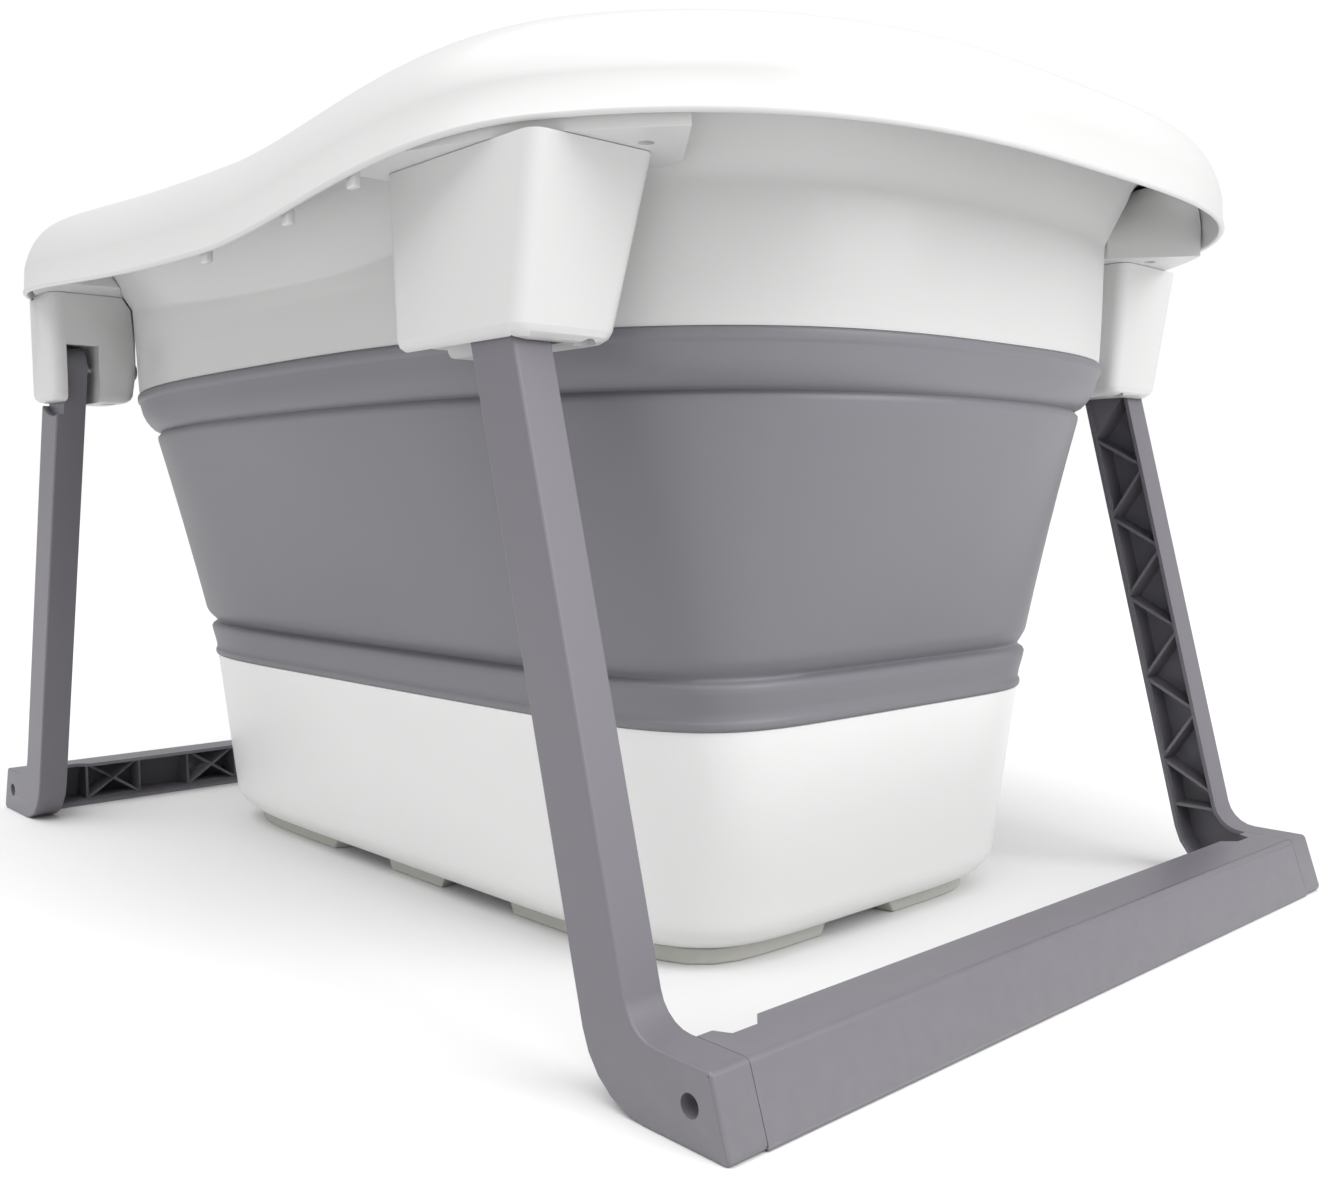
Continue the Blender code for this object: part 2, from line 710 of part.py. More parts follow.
def make_leg(end_name, side_name, material):
    """Channel leg, open towards the tub, with zigzag ribs, a pivot eye and a screwed foot."""
    end, side = ENDS[end_name], SIDES[side_name]
    name = f"{end_name}_{side_name}_leg"
    outline = bmesh.new()
    add_prism(outline, rounded(leg_corners()), LEG_INNER_Y, FRAME_HALF_WIDTH, end, side)
    leg = add_object(name, outline, material)

    pockets = bmesh.new()
    skin = FRAME_HALF_WIDTH - LEG_WALL
    eye_radius = LEG_DEPTH / 2 if end > 0 else LEG_NECK_RADIUS
    for cell in leg_cells(eye_radius + LEG_WALL) + [foot_cell()]:
        add_prism(pockets, cell, LEG_INNER_Y + RIB_RECESS / 2, skin, end, side)
    cut(leg, add_object(name + "_pockets", pockets, None))
    recess = bmesh.new()
    add_prism(recess, recess_outline(), LEG_INNER_Y - GAP, LEG_INNER_Y + RIB_RECESS, end, side)
    cut(leg, add_object(name + "_recess", recess, None))

    rib = bmesh.new()
    rib_from = LEG_INNER_Y + RIB_RECESS
    add_prism(rib, foot_rib_outline(), rib_from, FRAME_HALF_WIDTH - LEG_WALL / 2, end, side)
    join(leg, add_object(name + "_foot_rib", rib, None))

    screw = toe_screw_point()
    outward = (0, side, 0)
    start = Vector((end * screw.x, side * LEG_INNER_Y, screw.y))
    join(leg, rod(name + "_boss", start, outward, [(SCREW_BOSS_RADIUS, LEG_WIDTH - LEG_WALL / 2)]))
    through = LEG_WIDTH - SCREW_SINK
    steps = [(SCREW_RADIUS + SCREW_CLEARANCE, through + GAP), (SCREW_HEAD_RADIUS + GAP, 2 * SCREW_SINK)]
    hole_at = start - Vector(outward) * GAP
    cut(leg, rod(name + "_screw_hole", hole_at, outward, steps))
    eye = Vector((end * PIVOT_X, side * (LEG_INNER_Y - GAP), PIVOT_Z))
    cut(leg, rod(name + "_eye", eye, outward, [(PIN_RADIUS + PIN_CLEARANCE, LEG_WIDTH + 2 * GAP)]))
    if end < 0:
        neck_at = Vector((end * PIVOT_X, side * (FRAME_HALF_WIDTH - LEG_NECK), PIVOT_Z))
        cut(leg, rod(name + "_neck", neck_at, outward, [(LEG_NECK_RADIUS, 2 * LEG_NECK)], 40))
    return leg


def crossbar_profile(inset, from_depth=0.0):
    """Outline of the crossbar's section, in X and Z, inset on every side but its open one."""
    tip = toe_tip()
    slope = TOE_RAKE / TOE_HEIGHT
    inner = tip - CROSSBAR_DEPTH + from_depth
    low, high = inset, TOE_HEIGHT - inset
    outer = [(tip - slope * height - inset, height) for height in (low, high)]
    return [(inner, low), *outer, (inner, high)]


def crossbar_cells():
    """Outlines of the pockets between the crossbar's ribs, in Y and Z, for one half of its length."""
    low, high = FLANGE, TOE_HEIGHT - FLANGE
    last = CROSSBAR_HALF_LENGTH - CROSSBAR_END_WALL
    half = RIB_THICKNESS / 2
    cells = []
    for centre in CELL_CENTRES:
        left, right = centre - CELL_LENGTH / 2, min(centre + CELL_LENGTH / 2, last)
        corners = [(left, low), (right, low), (right, high), (left, high)]
        middle = ((left + right) / 2, (low + high) / 2)
        for index in range(4):
            triangle = [(*corners[index], 0.0), (*corners[(index + 1) % 4], 0.0), (*middle, 0.0)]
            edge = 0.0 if index % 2 == 0 else half
            cells.append([p[:2] for p in offset_corners(triangle, (edge, half, half))])
    starts = [centre + CELL_LENGTH / 2 for centre in CELL_CENTRES]
    stops = [centre - CELL_LENGTH / 2 for centre in CELL_CENTRES[1:]] + [last]
    for left, right in zip(starts, stops):
        if right - left > 4 * half:
            edges = (left + half, right - half)
            cells.append([(edges[0], low), (edges[1], low), (edges[1], high), (edges[0], high)])
    return cells


def make_crossbar(end_name, material):
    """U channel between the two feet, open towards the tub, with crossed ribs."""
    end = ENDS[end_name]
    name = f"{end_name}_crossbar"
    half = CROSSBAR_HALF_LENGTH
    body = bmesh.new()
    add_prism(body, crossbar_profile(0.0), -half, half, end, 1)
    bar = add_object(name, body, material)
    trough = bmesh.new()
    depth = CROSSBAR_RIB_RECESS
    inner = crossbar_profile(FLANGE, -GAP)[0][0]
    floor = crossbar_profile(FLANGE, depth)[0][0]
    section = [(inner, FLANGE), (floor, FLANGE), (floor, TOE_HEIGHT - FLANGE), (inner, TOE_HEIGHT - FLANGE)]
    last = half - CROSSBAR_END_WALL
    add_prism(trough, section, -last, last, end, 1)
    cut(bar, add_object(name + "_trough", trough, None))
    cells = bmesh.new()
    for side in (1, -1):
        for cell in crossbar_cells():
            if side < 0 and min(y for y, _ in cell) < 0.02:
                continue
            add_cell(cells, cell, floor - GAP, end, side)
    cut(bar, add_object(name + "_cells", cells, None))
    notches = bmesh.new()
    for side in (1, -1):
        add_notch(notches, inner - GAP, end, side)
    cut(bar, add_object(name + "_notches", notches, None))
    screw = toe_screw_point()
    for side_name, side in SIDES.items():
        start = Vector((end * screw.x, side * (half + GAP), screw.y))
        radius = SCREW_RADIUS + SCREW_CLEARANCE
        steps = [(radius, CROSSBAR_END_WALL + 2 * GAP)]
        cut(bar, rod(f"{name}_{side_name}_hole", start, (0, -side, 0), steps))
    return bar


def add_cell(mesh_data, cell, near, end, side):
    """Pocket from the ribs' face to the sloping web."""
    tip = toe_tip() - FLANGE
    slope = TOE_RAKE / TOE_HEIGHT
    rings = [
        [Vector((end * near, side * y, z)) for y, z in cell],
        [Vector((end * (tip - slope * z), side * y, z)) for y, z in cell],
    ]
    add_loft(mesh_data, rings)


def add_notch(mesh_data, near, end, side):
    """Relief in the upper flange beside each foot."""
    start = CROSSBAR_HALF_LENGTH - NOTCH_FROM_END
    deep = near + NOTCH_DEPTH
    outline = [
        (near, start),
        (deep, start - NOTCH_DEPTH / 2),
        (deep, start - NOTCH_LENGTH + NOTCH_DEPTH),
        (near, start - NOTCH_LENGTH),
    ]
    rings = [
        [Vector((end * x, side * y, height)) for x, y in outline]
        for height in (TOE_HEIGHT - 2 * FLANGE, TOE_HEIGHT + FLANGE)
    ]
    add_loft(mesh_data, rings)


def swing_slot(fold, bottom, reach):
    """Outline, in X and Z, of the space that a leg sweeps from upright to folded, open at the bottom."""
    radius = LEG_DEPTH / 2 + SLOT_CLEARANCE
    folded = LEG_LEAN - fold
    centre = Vector((PIVOT_X, PIVOT_Z))
    last_angle = math.pi + folded
    points = []
    for step in range(9):
        angle = LEG_LEAN + (last_angle - LEG_LEAN) * step / 8
        points.append(centre + radius * Vector((math.cos(angle), math.sin(angle))))
    far = points[-1] + Vector((math.sin(folded), -math.cos(folded))) * reach
    low = min(bottom, far.y) - GAP
    side_drop = (points[0].y - low) * math.tan(LEG_LEAN)
    return [Vector((points[0].x + side_drop, low)), *points, far, Vector((far.x, low))]


def rounded_rectangle(low_x, high_x, low_y, high_y, height, radius, end, side):
    points = []
    for centre_x, centre_y, first in (
        (high_x - radius, high_y - radius, 0),
        (low_x + radius, high_y - radius, 1),
        (low_x + radius, low_y + radius, 2),
        (high_x - radius, low_y + radius, 3),
    ):
        for step in range(5):
            angle = math.pi / 2 * (first + step / 4)
            x = centre_x + radius * math.cos(angle)
            y = centre_y + radius * math.sin(angle)
            points.append(Vector((end * x, side * y, height)))
    return points


def housing_screw_places(end):
    """|x| and |y| of each screw that holds a housing to its ledge."""
    offsets = HEAD_HOUSING_SCREWS if end > 0 else FOOT_HOUSING_SCREWS
    return [Vector((PIVOT_X + x, HOUSING_INNER_Y + y, 0)) for x, y in offsets]


def make_housing(end_name, side_name, material):
    """Drafted box under a ledge, with the slot that its leg swings in and blind holes for the pin."""
    end, side = ENDS[end_name], SIDES[side_name]
    name = f"{end_name}_{side_name}_housing"
    head = end > 0
    bottom = LEDGE_HEIGHT - (HEAD_HOUSING_DEPTH if head else FOOT_HOUSING_DEPTH)
    top = LEDGE_HEIGHT - GAP
    low, high = housing_span(end)
    draft = HEAD_HOUSING_DRAFT if head else FOOT_HOUSING_DRAFT
    wall = HEAD_HOUSING_OUTER_WALL if head else FOOT_HOUSING_OUTER_WALL
    slot_outer = FRAME_HALF_WIDTH + SLOT_CLEARANCE - (0.0 if head else LEG_NECK)
    outer_y = slot_outer + wall
    inner_y = HOUSING_INNER_Y
    rings = []
    edge = HOUSING_EDGE
    for step in range(4):
        angle = math.pi / 2 * step / 3
        inset = edge * (1 - math.sin(angle))
        rise = edge * (1 - math.cos(angle))
        share = 1 - rise / (top - bottom)
        rings.append(
            rounded_rectangle(
                low + HOUSING_DRAFT_INSIDE * draft * share + inset,
                high - draft * share - inset,
                inner_y - HOUSING_INNER_DRAFT * (1 - share) + inset,
                outer_y - inset,
                bottom + rise,
                HOUSING_CORNER,
                end,
                side,
            )
        )
    rings.append(
        rounded_rectangle(
            low, high, inner_y - HOUSING_INNER_DRAFT, outer_y, top, HOUSING_CORNER, end, side
        )
    )
    housing = loft(name, rings, material)

    grow = SOFT_BEAD + GAP
    inset, rise = rim_arch(-SHELL_THICKNESS / 2)[-1]
    envelope = [rim_ring(inset - grow, rise), *wall_rings(grow, bottom - GAP)]
    cut(housing, loft(name + "_wall", envelope))
    low_rise, high_rise = -GAP, 4 * BEAD_RADIUS
    inside, outside = 2 * BEAD_RADIUS + 2 * GAP, -CREST_INSET
    around_lip = [(inside, low_rise), (outside, low_rise), (outside, high_rise), (inside, high_rise)]
    cut(housing, loft(name + "_lip", [rim_ring(*point) for point in around_lip], closed=True))
    slot = bmesh.new()
    fold = HEAD_FOLD if head else FOOT_FOLD
    reach = 2 * (HEAD_HOUSING_INNER_REACH if head else FOOT_HOUSING_INNER_REACH)
    outline = swing_slot(fold, bottom - GAP, reach)
    add_prism(slot, outline, LEG_INNER_Y - SLOT_INNER_CLEARANCE, slot_outer, end, side)
    cut(housing, add_object(name + "_slot", slot, None))

    outward = (0, side, 0)
    pin_from = Vector((end * PIVOT_X, side * (inner_y - 2 * HOUSING_INNER_DRAFT), PIVOT_Z))
    length = pin_end(end) + GAP - (inner_y - 2 * HOUSING_INNER_DRAFT)
    cut(housing, rod(name + "_pin_hole", pin_from, outward, [(PIN_RADIUS + PIN_CLEARANCE, length)]))
    for index, place in enumerate(housing_screw_places(end)):
        screw_top = top - HOUSING_ROOF
        start = Vector((end * place.x, side * place.y, bottom - GAP))
        steps = [
            (SCREW_HEAD_RADIUS + GAP, screw_top - bottom + GAP),
            (SCREW_RADIUS + SCREW_CLEARANCE, 2 * HOUSING_ROOF),
        ]
        cut(housing, rod(f"{name}_screw_hole_{index + 1}", start, (0, 0, 1), steps))
    return housing


def pin_end(end):
    """|y| of a pin's blind end, inside the housing's outer wall."""
    if end > 0:
        return FRAME_HALF_WIDTH + SLOT_CLEARANCE + HEAD_HOUSING_OUTER_WALL / 2
    return FRAME_HALF_WIDTH - LEG_NECK + SLOT_CLEARANCE + 2 * FOOT_HOUSING_OUTER_WALL / 3


def make_pin(end_name, side_name, material):
    """Headed pin, pushed in from the tub's side."""
    end, side = ENDS[end_name], SIDES[side_name]
    share = PIVOT_BELOW_LEDGE / HEAD_HOUSING_DEPTH
    face = HOUSING_INNER_Y - HOUSING_INNER_DRAFT * (1 - share) - HOUSING_INNER_DRAFT * 0.1
    start = Vector((end * PIVOT_X, side * (face - PIN_HEAD_HEIGHT - GAP), PIVOT_Z))
    steps = [
        (PIN_HEAD_RADIUS, PIN_HEAD_HEIGHT),
        (PIN_RADIUS, pin_end(end) - face + GAP),
    ]
    return rod(f"{end_name}_{side_name}_pivot_pin", start, (0, side, 0), steps, 14, material)


def make_crossbar_screw(end_name, side_name, material):
    end, side = ENDS[end_name], SIDES[side_name]
    screw = toe_screw_point()
    head_from = FRAME_HALF_WIDTH - SCREW_SINK + GAP
    start = Vector((end * screw.x, side * (head_from + SCREW_HEAD_HEIGHT), screw.y))
    shank = head_from - CROSSBAR_HALF_LENGTH + SCREW_BITE
    steps = [(SCREW_HEAD_RADIUS, SCREW_HEAD_HEIGHT), (SCREW_RADIUS, shank)]
    name = f"{end_name}_{side_name}_crossbar_screw"
    return rod(name, start, (0, -side, 0), steps, 14, material)


def make_housing_screws(end_name, side_name, material):
    end, side = ENDS[end_name], SIDES[side_name]
    head_top = LEDGE_HEIGHT - GAP - HOUSING_ROOF - GAP
    screws = []
    for index, place in enumerate(housing_screw_places(end)):
        start = Vector((end * place.x, side * place.y, head_top - SCREW_HEAD_HEIGHT))
        shank = LEDGE_HEIGHT + SCREW_BITE - head_top
        steps = [(SCREW_HEAD_RADIUS, SCREW_HEAD_HEIGHT), (SCREW_RADIUS, shank)]
        name = f"{end_name}_{side_name}_housing_screw_{index + 1}"
        screws.append(rod(name, start, (0, 0, 1), steps, 14, material))
    return screws


def make_drain_plug(material):
    """Stopper with a flange on the tray's floor and a finger knob."""
    floor = BASE_BOTTOM + BASE_THICKNESS
    stem = BASE_THICKNESS + GAP
    start = Vector((DRAIN_X, 0, floor - BASE_THICKNESS))
    steps = [
        (DRAIN_RADIUS - GAP, stem),
        (DRAIN_RADIUS + PLUG_FLANGE, PLUG_FLANGE_HEIGHT),
        (PLUG_NECK_RADIUS, PLUG_NECK_HEIGHT),
        (PLUG_KNOB_RADIUS, PLUG_KNOB_HEIGHT),
    ]
    return rod("drain_plug", start, (0, 0, 1), steps, 32, material)


def carry(name, place, pieces):
    """Parents moving pieces to an empty on their joint's axis."""
    holder = bpy.data.objects.new(name, None)
    holder.location = place
    bpy.context.scene.collection.objects.link(holder)
    for piece in pieces:
        piece.data.transform(Matrix.Translation(-Vector(place)))
        piece.parent = holder
    return holder


WHITE = ((0.86, 0.86, 0.86), 0.32)
BASE_WHITE = ((0.80, 0.80, 0.79), 0.38)
SOFT_GREY = ((0.30, 0.29, 0.31), 0.55)
LEG_GREY = ((0.33, 0.31, 0.34), 0.45)
PAD_GREY = ((0.48, 0.48, 0.45), 0.70)
PLUG_GREY = ((0.25, 0.25, 0.26), 0.60)
STEEL_GREY = ((0.55, 0.55, 0.56), 0.35)


def main():
    start_clean()
    make_rim_shell(WHITE)
    make_soft_wall(SOFT_GREY)
    base = make_base(BASE_WHITE)
    pads = make_pads(PAD_GREY)
    plug = make_drain_plug(PLUG_GREY)
    carry("base_slide", (0, 0, BASE_BOTTOM), [base, *pads])
    carry("plug_slide", (DRAIN_X, 0, BASE_BOTTOM), [plug])
    for end_name, end in ENDS.items():
        moving = [make_crossbar(end_name, LEG_GREY)]
        for side_name in SIDES:
            make_housing(end_name, side_name, WHITE)
            make_pin(end_name, side_name, STEEL_GREY)
            make_housing_screws(end_name, side_name, STEEL_GREY)
            moving.append(make_leg(end_name, side_name, LEG_GREY))
            moving.append(make_crossbar_screw(end_name, side_name, STEEL_GREY))
        carry(f"{end_name}_fold", (end * PIVOT_X, 0, PIVOT_Z), moving)


if __name__ == "__main__":
    main()
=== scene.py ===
"""Collapsible baby bathtub: moulded shell, folding wall, tray and leg frames, on a pale floor.

Each group of pieces is made by one operator of the Bathtub panel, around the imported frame.
Metres, +Z up, +X the head end. The left side is +Y.
"""

import json
import math

import bmesh
import bpy
from mathutils import Matrix, Vector


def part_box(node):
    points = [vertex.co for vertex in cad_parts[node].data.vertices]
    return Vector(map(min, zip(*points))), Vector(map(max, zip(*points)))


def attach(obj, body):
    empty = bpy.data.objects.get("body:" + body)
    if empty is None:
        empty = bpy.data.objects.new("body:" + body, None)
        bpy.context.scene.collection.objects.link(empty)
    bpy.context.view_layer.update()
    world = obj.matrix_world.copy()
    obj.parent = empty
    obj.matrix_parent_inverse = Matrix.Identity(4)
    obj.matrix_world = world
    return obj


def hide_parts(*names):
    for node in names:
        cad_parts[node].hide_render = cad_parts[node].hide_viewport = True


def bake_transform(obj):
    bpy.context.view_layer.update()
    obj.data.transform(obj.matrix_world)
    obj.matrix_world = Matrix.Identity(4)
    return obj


bl_info = {
    "name": "Collapsible Baby Bathtub",
    "version": (1, 0, 0),
    "blender": (4, 5, 0),
    "location": "3D View > Sidebar > Bathtub",
    "description": "Builds a collapsible baby bathtub on two leg frames",
    "category": "Add Mesh",
}

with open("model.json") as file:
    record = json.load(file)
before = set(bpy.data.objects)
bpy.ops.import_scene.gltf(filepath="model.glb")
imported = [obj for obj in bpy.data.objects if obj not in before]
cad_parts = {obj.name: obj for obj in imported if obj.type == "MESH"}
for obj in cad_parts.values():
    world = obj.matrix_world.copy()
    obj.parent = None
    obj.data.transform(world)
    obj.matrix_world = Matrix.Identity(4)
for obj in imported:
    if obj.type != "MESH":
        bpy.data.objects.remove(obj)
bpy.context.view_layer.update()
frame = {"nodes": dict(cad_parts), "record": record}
RIM_LOW, RIM_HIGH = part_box("rim_shell")
SOFT_LOW, SOFT_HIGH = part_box("soft_wall")
BASE_LOW, BASE_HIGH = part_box("base_basin")
PLUG_LOW, PLUG_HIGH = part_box("drain_plug")
HOUSING_LOW, HOUSING_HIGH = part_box("head_left_housing")
FOOT_HOUSING_LOW, FOOT_HOUSING_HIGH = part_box("foot_left_housing")

ENDS = {"head": 1, "foot": -1}
SIDES = {"left": 1, "right": -1}
RING_STEPS = 256
RING_DROP = 0.0003  # keeps two neighbouring rings of a section out of one level plane
ARCH_STEPS = 14
SHARP_ANGLE = math.radians(35)
GAP = 0.0003  # between a ledge and the housing under it
FIT = 0.0004  # between a ledge and the shell around it

# Squareness of the rounded plans: 2 is an ellipse, and more is squarer.
RIM_EXPONENT = 3.0
WALL_EXPONENT = 2.9
FLANK_TOP_EXPONENT = 2.6
FLANK_END_EXPONENT = 4.4
BASE_EXPONENT = 6.2

# How much larger the shell's wall is, at its bend, where it starts to flare and where it meets the rim.
BEND_GROW = 0.0004
BEND_RISE = 0.006
FLARE_START_GROW = 0.0012
FLARE_START_RISE = 0.0284
FLARE_LENGTH_GROW = 0.0016
FLARE_WIDTH_GROW = 0.0030
FLARE_STEPS = 6
FLARE_UNDER_LIP = 0.004

LEDGE_LAYERS = 5
LEDGE_HEAD_START = 0.008
LEDGE_HEAD_END_AT_WALL = 0.003
LEDGE_HEAD_END_AT_LIP = 0.039
LEDGE_FOOT_START = 0.034
LEDGE_FOOT_END = 0.004
LEDGE_REACH = 0.017
LEDGE_HOLE_X = 0.0082
LEDGE_HOLE_Y = 0.0140
LEDGE_HOLE_RADIUS = 0.0035
LEDGE_HOLE_DEPTH = 0.012
LEDGE_EDGE = 0.0016

TAB_PLACES = (0.206, 0.160, 0.085)
TAB_SIZE = (0.0070, 0.0036, 0.0090)
TAB_INSET = 0.0062
TAB_RISE = 0.0010

BASE_TAPER_LENGTH = 0.0120
BASE_TAPER_WIDTH = 0.0080
BASE_CORNER = 0.020
BASE_SIDE_STEPS = 6
BASE_CORNER_STEPS = 8
DRAIN_RADIUS = 0.0154

# How light the flow marks and the worn edges are beside a finish's own colour, and how deep its grain looks.
FLOW_TONE = 0.985
WORN_TONE = 1.35
GRAIN_STRENGTH = 0.35


class TubSizes(bpy.types.PropertyGroup):
    """Sizes of the moulded pieces. The outer ones start from the frame."""

    lip_half_length: bpy.props.FloatProperty(
        name="Lip half length",
        description="From the middle of the tub to the lip at either end",
        default=RIM_HIGH.x,
        unit="LENGTH",
    )
    lip_half_width: bpy.props.FloatProperty(
        name="Lip half width",
        description="From the middle of the tub to the lip at either side",
        default=RIM_HIGH.y,
        unit="LENGTH",
    )
    crest_height: bpy.props.FloatProperty(
        name="Crest height",
        description="Top of the rim at the ends, above the floor",
        default=RIM_HIGH.z,
        unit="LENGTH",
    )
    crest_rise: bpy.props.FloatProperty(
        name="Crest rise",
        description="From the lip up to the crest of the rim",
        default=0.047,
        unit="LENGTH",
    )
    crest_inset: bpy.props.FloatProperty(
        name="Crest inset",
        description="From the lip in to the crest of the rim",
        default=0.025,
        unit="LENGTH",
    )
    rim_width: bpy.props.FloatProperty(
        name="Rim width",
        description="From the lip in to where the rim meets the basin's wall",
        default=0.050,
        unit="LENGTH",
    )
    rim_drop: bpy.props.FloatProperty(
        name="Rim drop",
        description="From the crest down to where the rim meets the basin's wall",
        default=0.030,
        unit="LENGTH",
    )
    lip_dip: bpy.props.FloatProperty(
        name="Lip dip",
        description="How far the lip dips along the sides",
        default=0.0292,
        unit="LENGTH",
    )
    dip_x: bpy.props.FloatProperty(
        name="Dip position",
        description="Where along the tub the lip is lowest",
        default=0.0884,
        unit="LENGTH",
    )
    dip_reach_head: bpy.props.FloatProperty(
        name="Dip reach to the head",
        description="From the lowest point of the lip to its full height at the head end",
        default=0.210,
        unit="LENGTH",
    )
    dip_reach_foot: bpy.props.FloatProperty(
        name="Dip reach to the foot",
        description="From the lowest point of the lip to its full height at the foot end",
        default=0.530,
        unit="LENGTH",
    )
    bead_radius: bpy.props.FloatProperty(
        name="Lip bead radius",
        description="Radius of the rolled lip",
        default=0.0016,
        unit="LENGTH",
    )
    shell_thickness: bpy.props.FloatProperty(
        name="Shell thickness",
        description="Wall of the rim shell",
        default=0.0032,
        unit="LENGTH",
    )
    wall_half_length: bpy.props.FloatProperty(
        name="Wall half length",
        description="Half the length of the rim shell's bottom edge",
        default=0.3489,
        unit="LENGTH",
    )
    wall_half_width: bpy.props.FloatProperty(
        name="Wall half width",
        description="Half the width of the rim shell's bottom edge",
        default=0.2324,
        unit="LENGTH",
    )
    soft_thickness: bpy.props.FloatProperty(
        name="Soft wall thickness",
        description="Thickness of the folding wall",
        default=0.0030,
        unit="LENGTH",
    )
    base_thickness: bpy.props.FloatProperty(
        name="Base thickness",
        description="Wall of the base tray",
        default=0.0030,
        unit="LENGTH",
    )
    edge_softness: bpy.props.FloatProperty(
        name="Edge softness",
        description="Radius on the outer edges of the leg frames",
        default=0.0024,
        unit="LENGTH",
    )


def colour_property(name, description, default):
    return bpy.props.FloatVectorProperty(
        name=name, description=description, default=default, size=3, subtype="COLOR", min=0, max=1
    )


class TubColours(bpy.types.PropertyGroup):
    """Colours of the mouldings."""

    white_shell: colour_property("Shell", "Rim shell and housings", (0.58, 0.58, 0.577))
    white_base: colour_property("Base", "Base tray", (0.73, 0.73, 0.725))
    soft_grey: colour_property("Folding wall", "Soft folding wall", (0.172, 0.168, 0.186))
    # The leg grey is the folding wall's grey made darker as painted shade, because the legs catch more light
    # than the wall under the rim.
    leg_grey: colour_property("Leg frames", "Legs and crossbars", (0.146, 0.139, 0.158))
    pad_grey: colour_property("Pads", "Pads under the base", (0.50, 0.50, 0.46))
    plug_grey: colour_property("Plug", "Drain plug", (0.20, 0.20, 0.21))
    steel: colour_property("Steel", "Pins and screws", (0.56, 0.56, 0.57))
    floor: colour_property("Floor", "Studio floor", (0.76, 0.76, 0.76))


# Finishes


def new_group(name, inputs, outputs):
    """Empty shader node group with named sockets, as (group, its input node, its output node)."""
    group = bpy.data.node_groups.new(name, "ShaderNodeTree")
    for socket_name, kind, default in inputs:
        socket = group.interface.new_socket(socket_name, in_out="INPUT", socket_type=kind)
        if default is not None:
            socket.default_value = default
    for socket_name, kind in outputs:
        group.interface.new_socket(socket_name, in_out="OUTPUT", socket_type=kind)
    return group, group.nodes.new("NodeGroupInput"), group.nodes.new("NodeGroupOutput")


def add_node(tree, kind, place, **settings):
    node = tree.nodes.new(kind)
    node.location = place
    for setting, value in settings.items():
        setattr(node, setting, value)
    return node


def mould_grain_group():
    """Fine spark-eroded grain of a mould, with slow changes of gloss over it."""
    group, given, result = new_group(
        "Mould grain",
        [
            ("Vector", "NodeSocketVector", None),
            ("Grain Scale", "NodeSocketFloat", 1400.0),
            ("Grain Depth", "NodeSocketFloat", 0.3),
            ("Roughness", "NodeSocketFloat", 0.4),
            ("Roughness Spread", "NodeSocketFloat", 0.06),
        ],
        [("Height", "NodeSocketFloat"), ("Roughness", "NodeSocketFloat")],
    )
    links = group.links
    grain = add_node(group, "ShaderNodeTexNoise", (-400, 200))
    grain.inputs["Detail"].default_value = 3.0
    grain.inputs["Roughness"].default_value = 0.6
    links.new(given.outputs["Vector"], grain.inputs["Vector"])
    links.new(given.outputs["Grain Scale"], grain.inputs["Scale"])
    height = add_node(group, "ShaderNodeMath", (-150, 200), operation="MULTIPLY")
    links.new(grain.outputs["Fac"], height.inputs[0])
    links.new(given.outputs["Grain Depth"], height.inputs[1])
    links.new(height.outputs[0], result.inputs["Height"])
    cloud = add_node(group, "ShaderNodeTexNoise", (-400, -150))
    cloud.inputs["Scale"].default_value = 9.0
    cloud.inputs["Detail"].default_value = 4.0
    links.new(given.outputs["Vector"], cloud.inputs["Vector"])
    centred = add_node(group, "ShaderNodeMath", (-200, -150), operation="SUBTRACT")
    centred.inputs[1].default_value = 0.5
    links.new(cloud.outputs["Fac"], centred.inputs[0])
    gloss = add_node(group, "ShaderNodeMath", (0, -150), operation="MULTIPLY_ADD")
    links.new(centred.outputs[0], gloss.inputs[0])
    links.new(given.outputs["Roughness Spread"], gloss.inputs[1])
    links.new(given.outputs["Roughness"], gloss.inputs[2])
    links.new(gloss.outputs[0], result.inputs["Roughness"])
    return group


def tone_drift_group():
    """Slight changes of a moulding's colour, as the melt flowed."""
    group, given, result = new_group(
        "Tone drift",
        [
            ("Vector", "NodeSocketVector", None),
            ("Color", "NodeSocketColor", (0.5, 0.5, 0.5, 1.0)),
            ("Flow Color", "NodeSocketColor", (0.5, 0.5, 0.5, 1.0)),
            ("Patch Scale", "NodeSocketFloat", 6.0),
        ],
        [("Color", "NodeSocketColor")],
    )
    links = group.links
    flow = add_node(group, "ShaderNodeTexNoise", (-400, 0))
    flow.inputs["Detail"].default_value = 5.0
    flow.inputs["Distortion"].default_value = 0.4
    links.new(given.outputs["Vector"], flow.inputs["Vector"])
    links.new(given.outputs["Patch Scale"], flow.inputs["Scale"])
    share = add_node(group, "ShaderNodeMapRange", (-200, 0))
    share.inputs["From Min"].default_value = 0.35
    share.inputs["From Max"].default_value = 0.70
    links.new(flow.outputs["Fac"], share.inputs["Value"])
    mix = add_node(group, "ShaderNodeMix", (0, 0), data_type="RGBA")
    links.new(share.outputs["Result"], mix.inputs["Factor"])
    links.new(given.outputs["Color"], mix.inputs[6])
    links.new(given.outputs["Flow Color"], mix.inputs[7])
    links.new(mix.outputs[2], result.inputs["Color"])
    return group


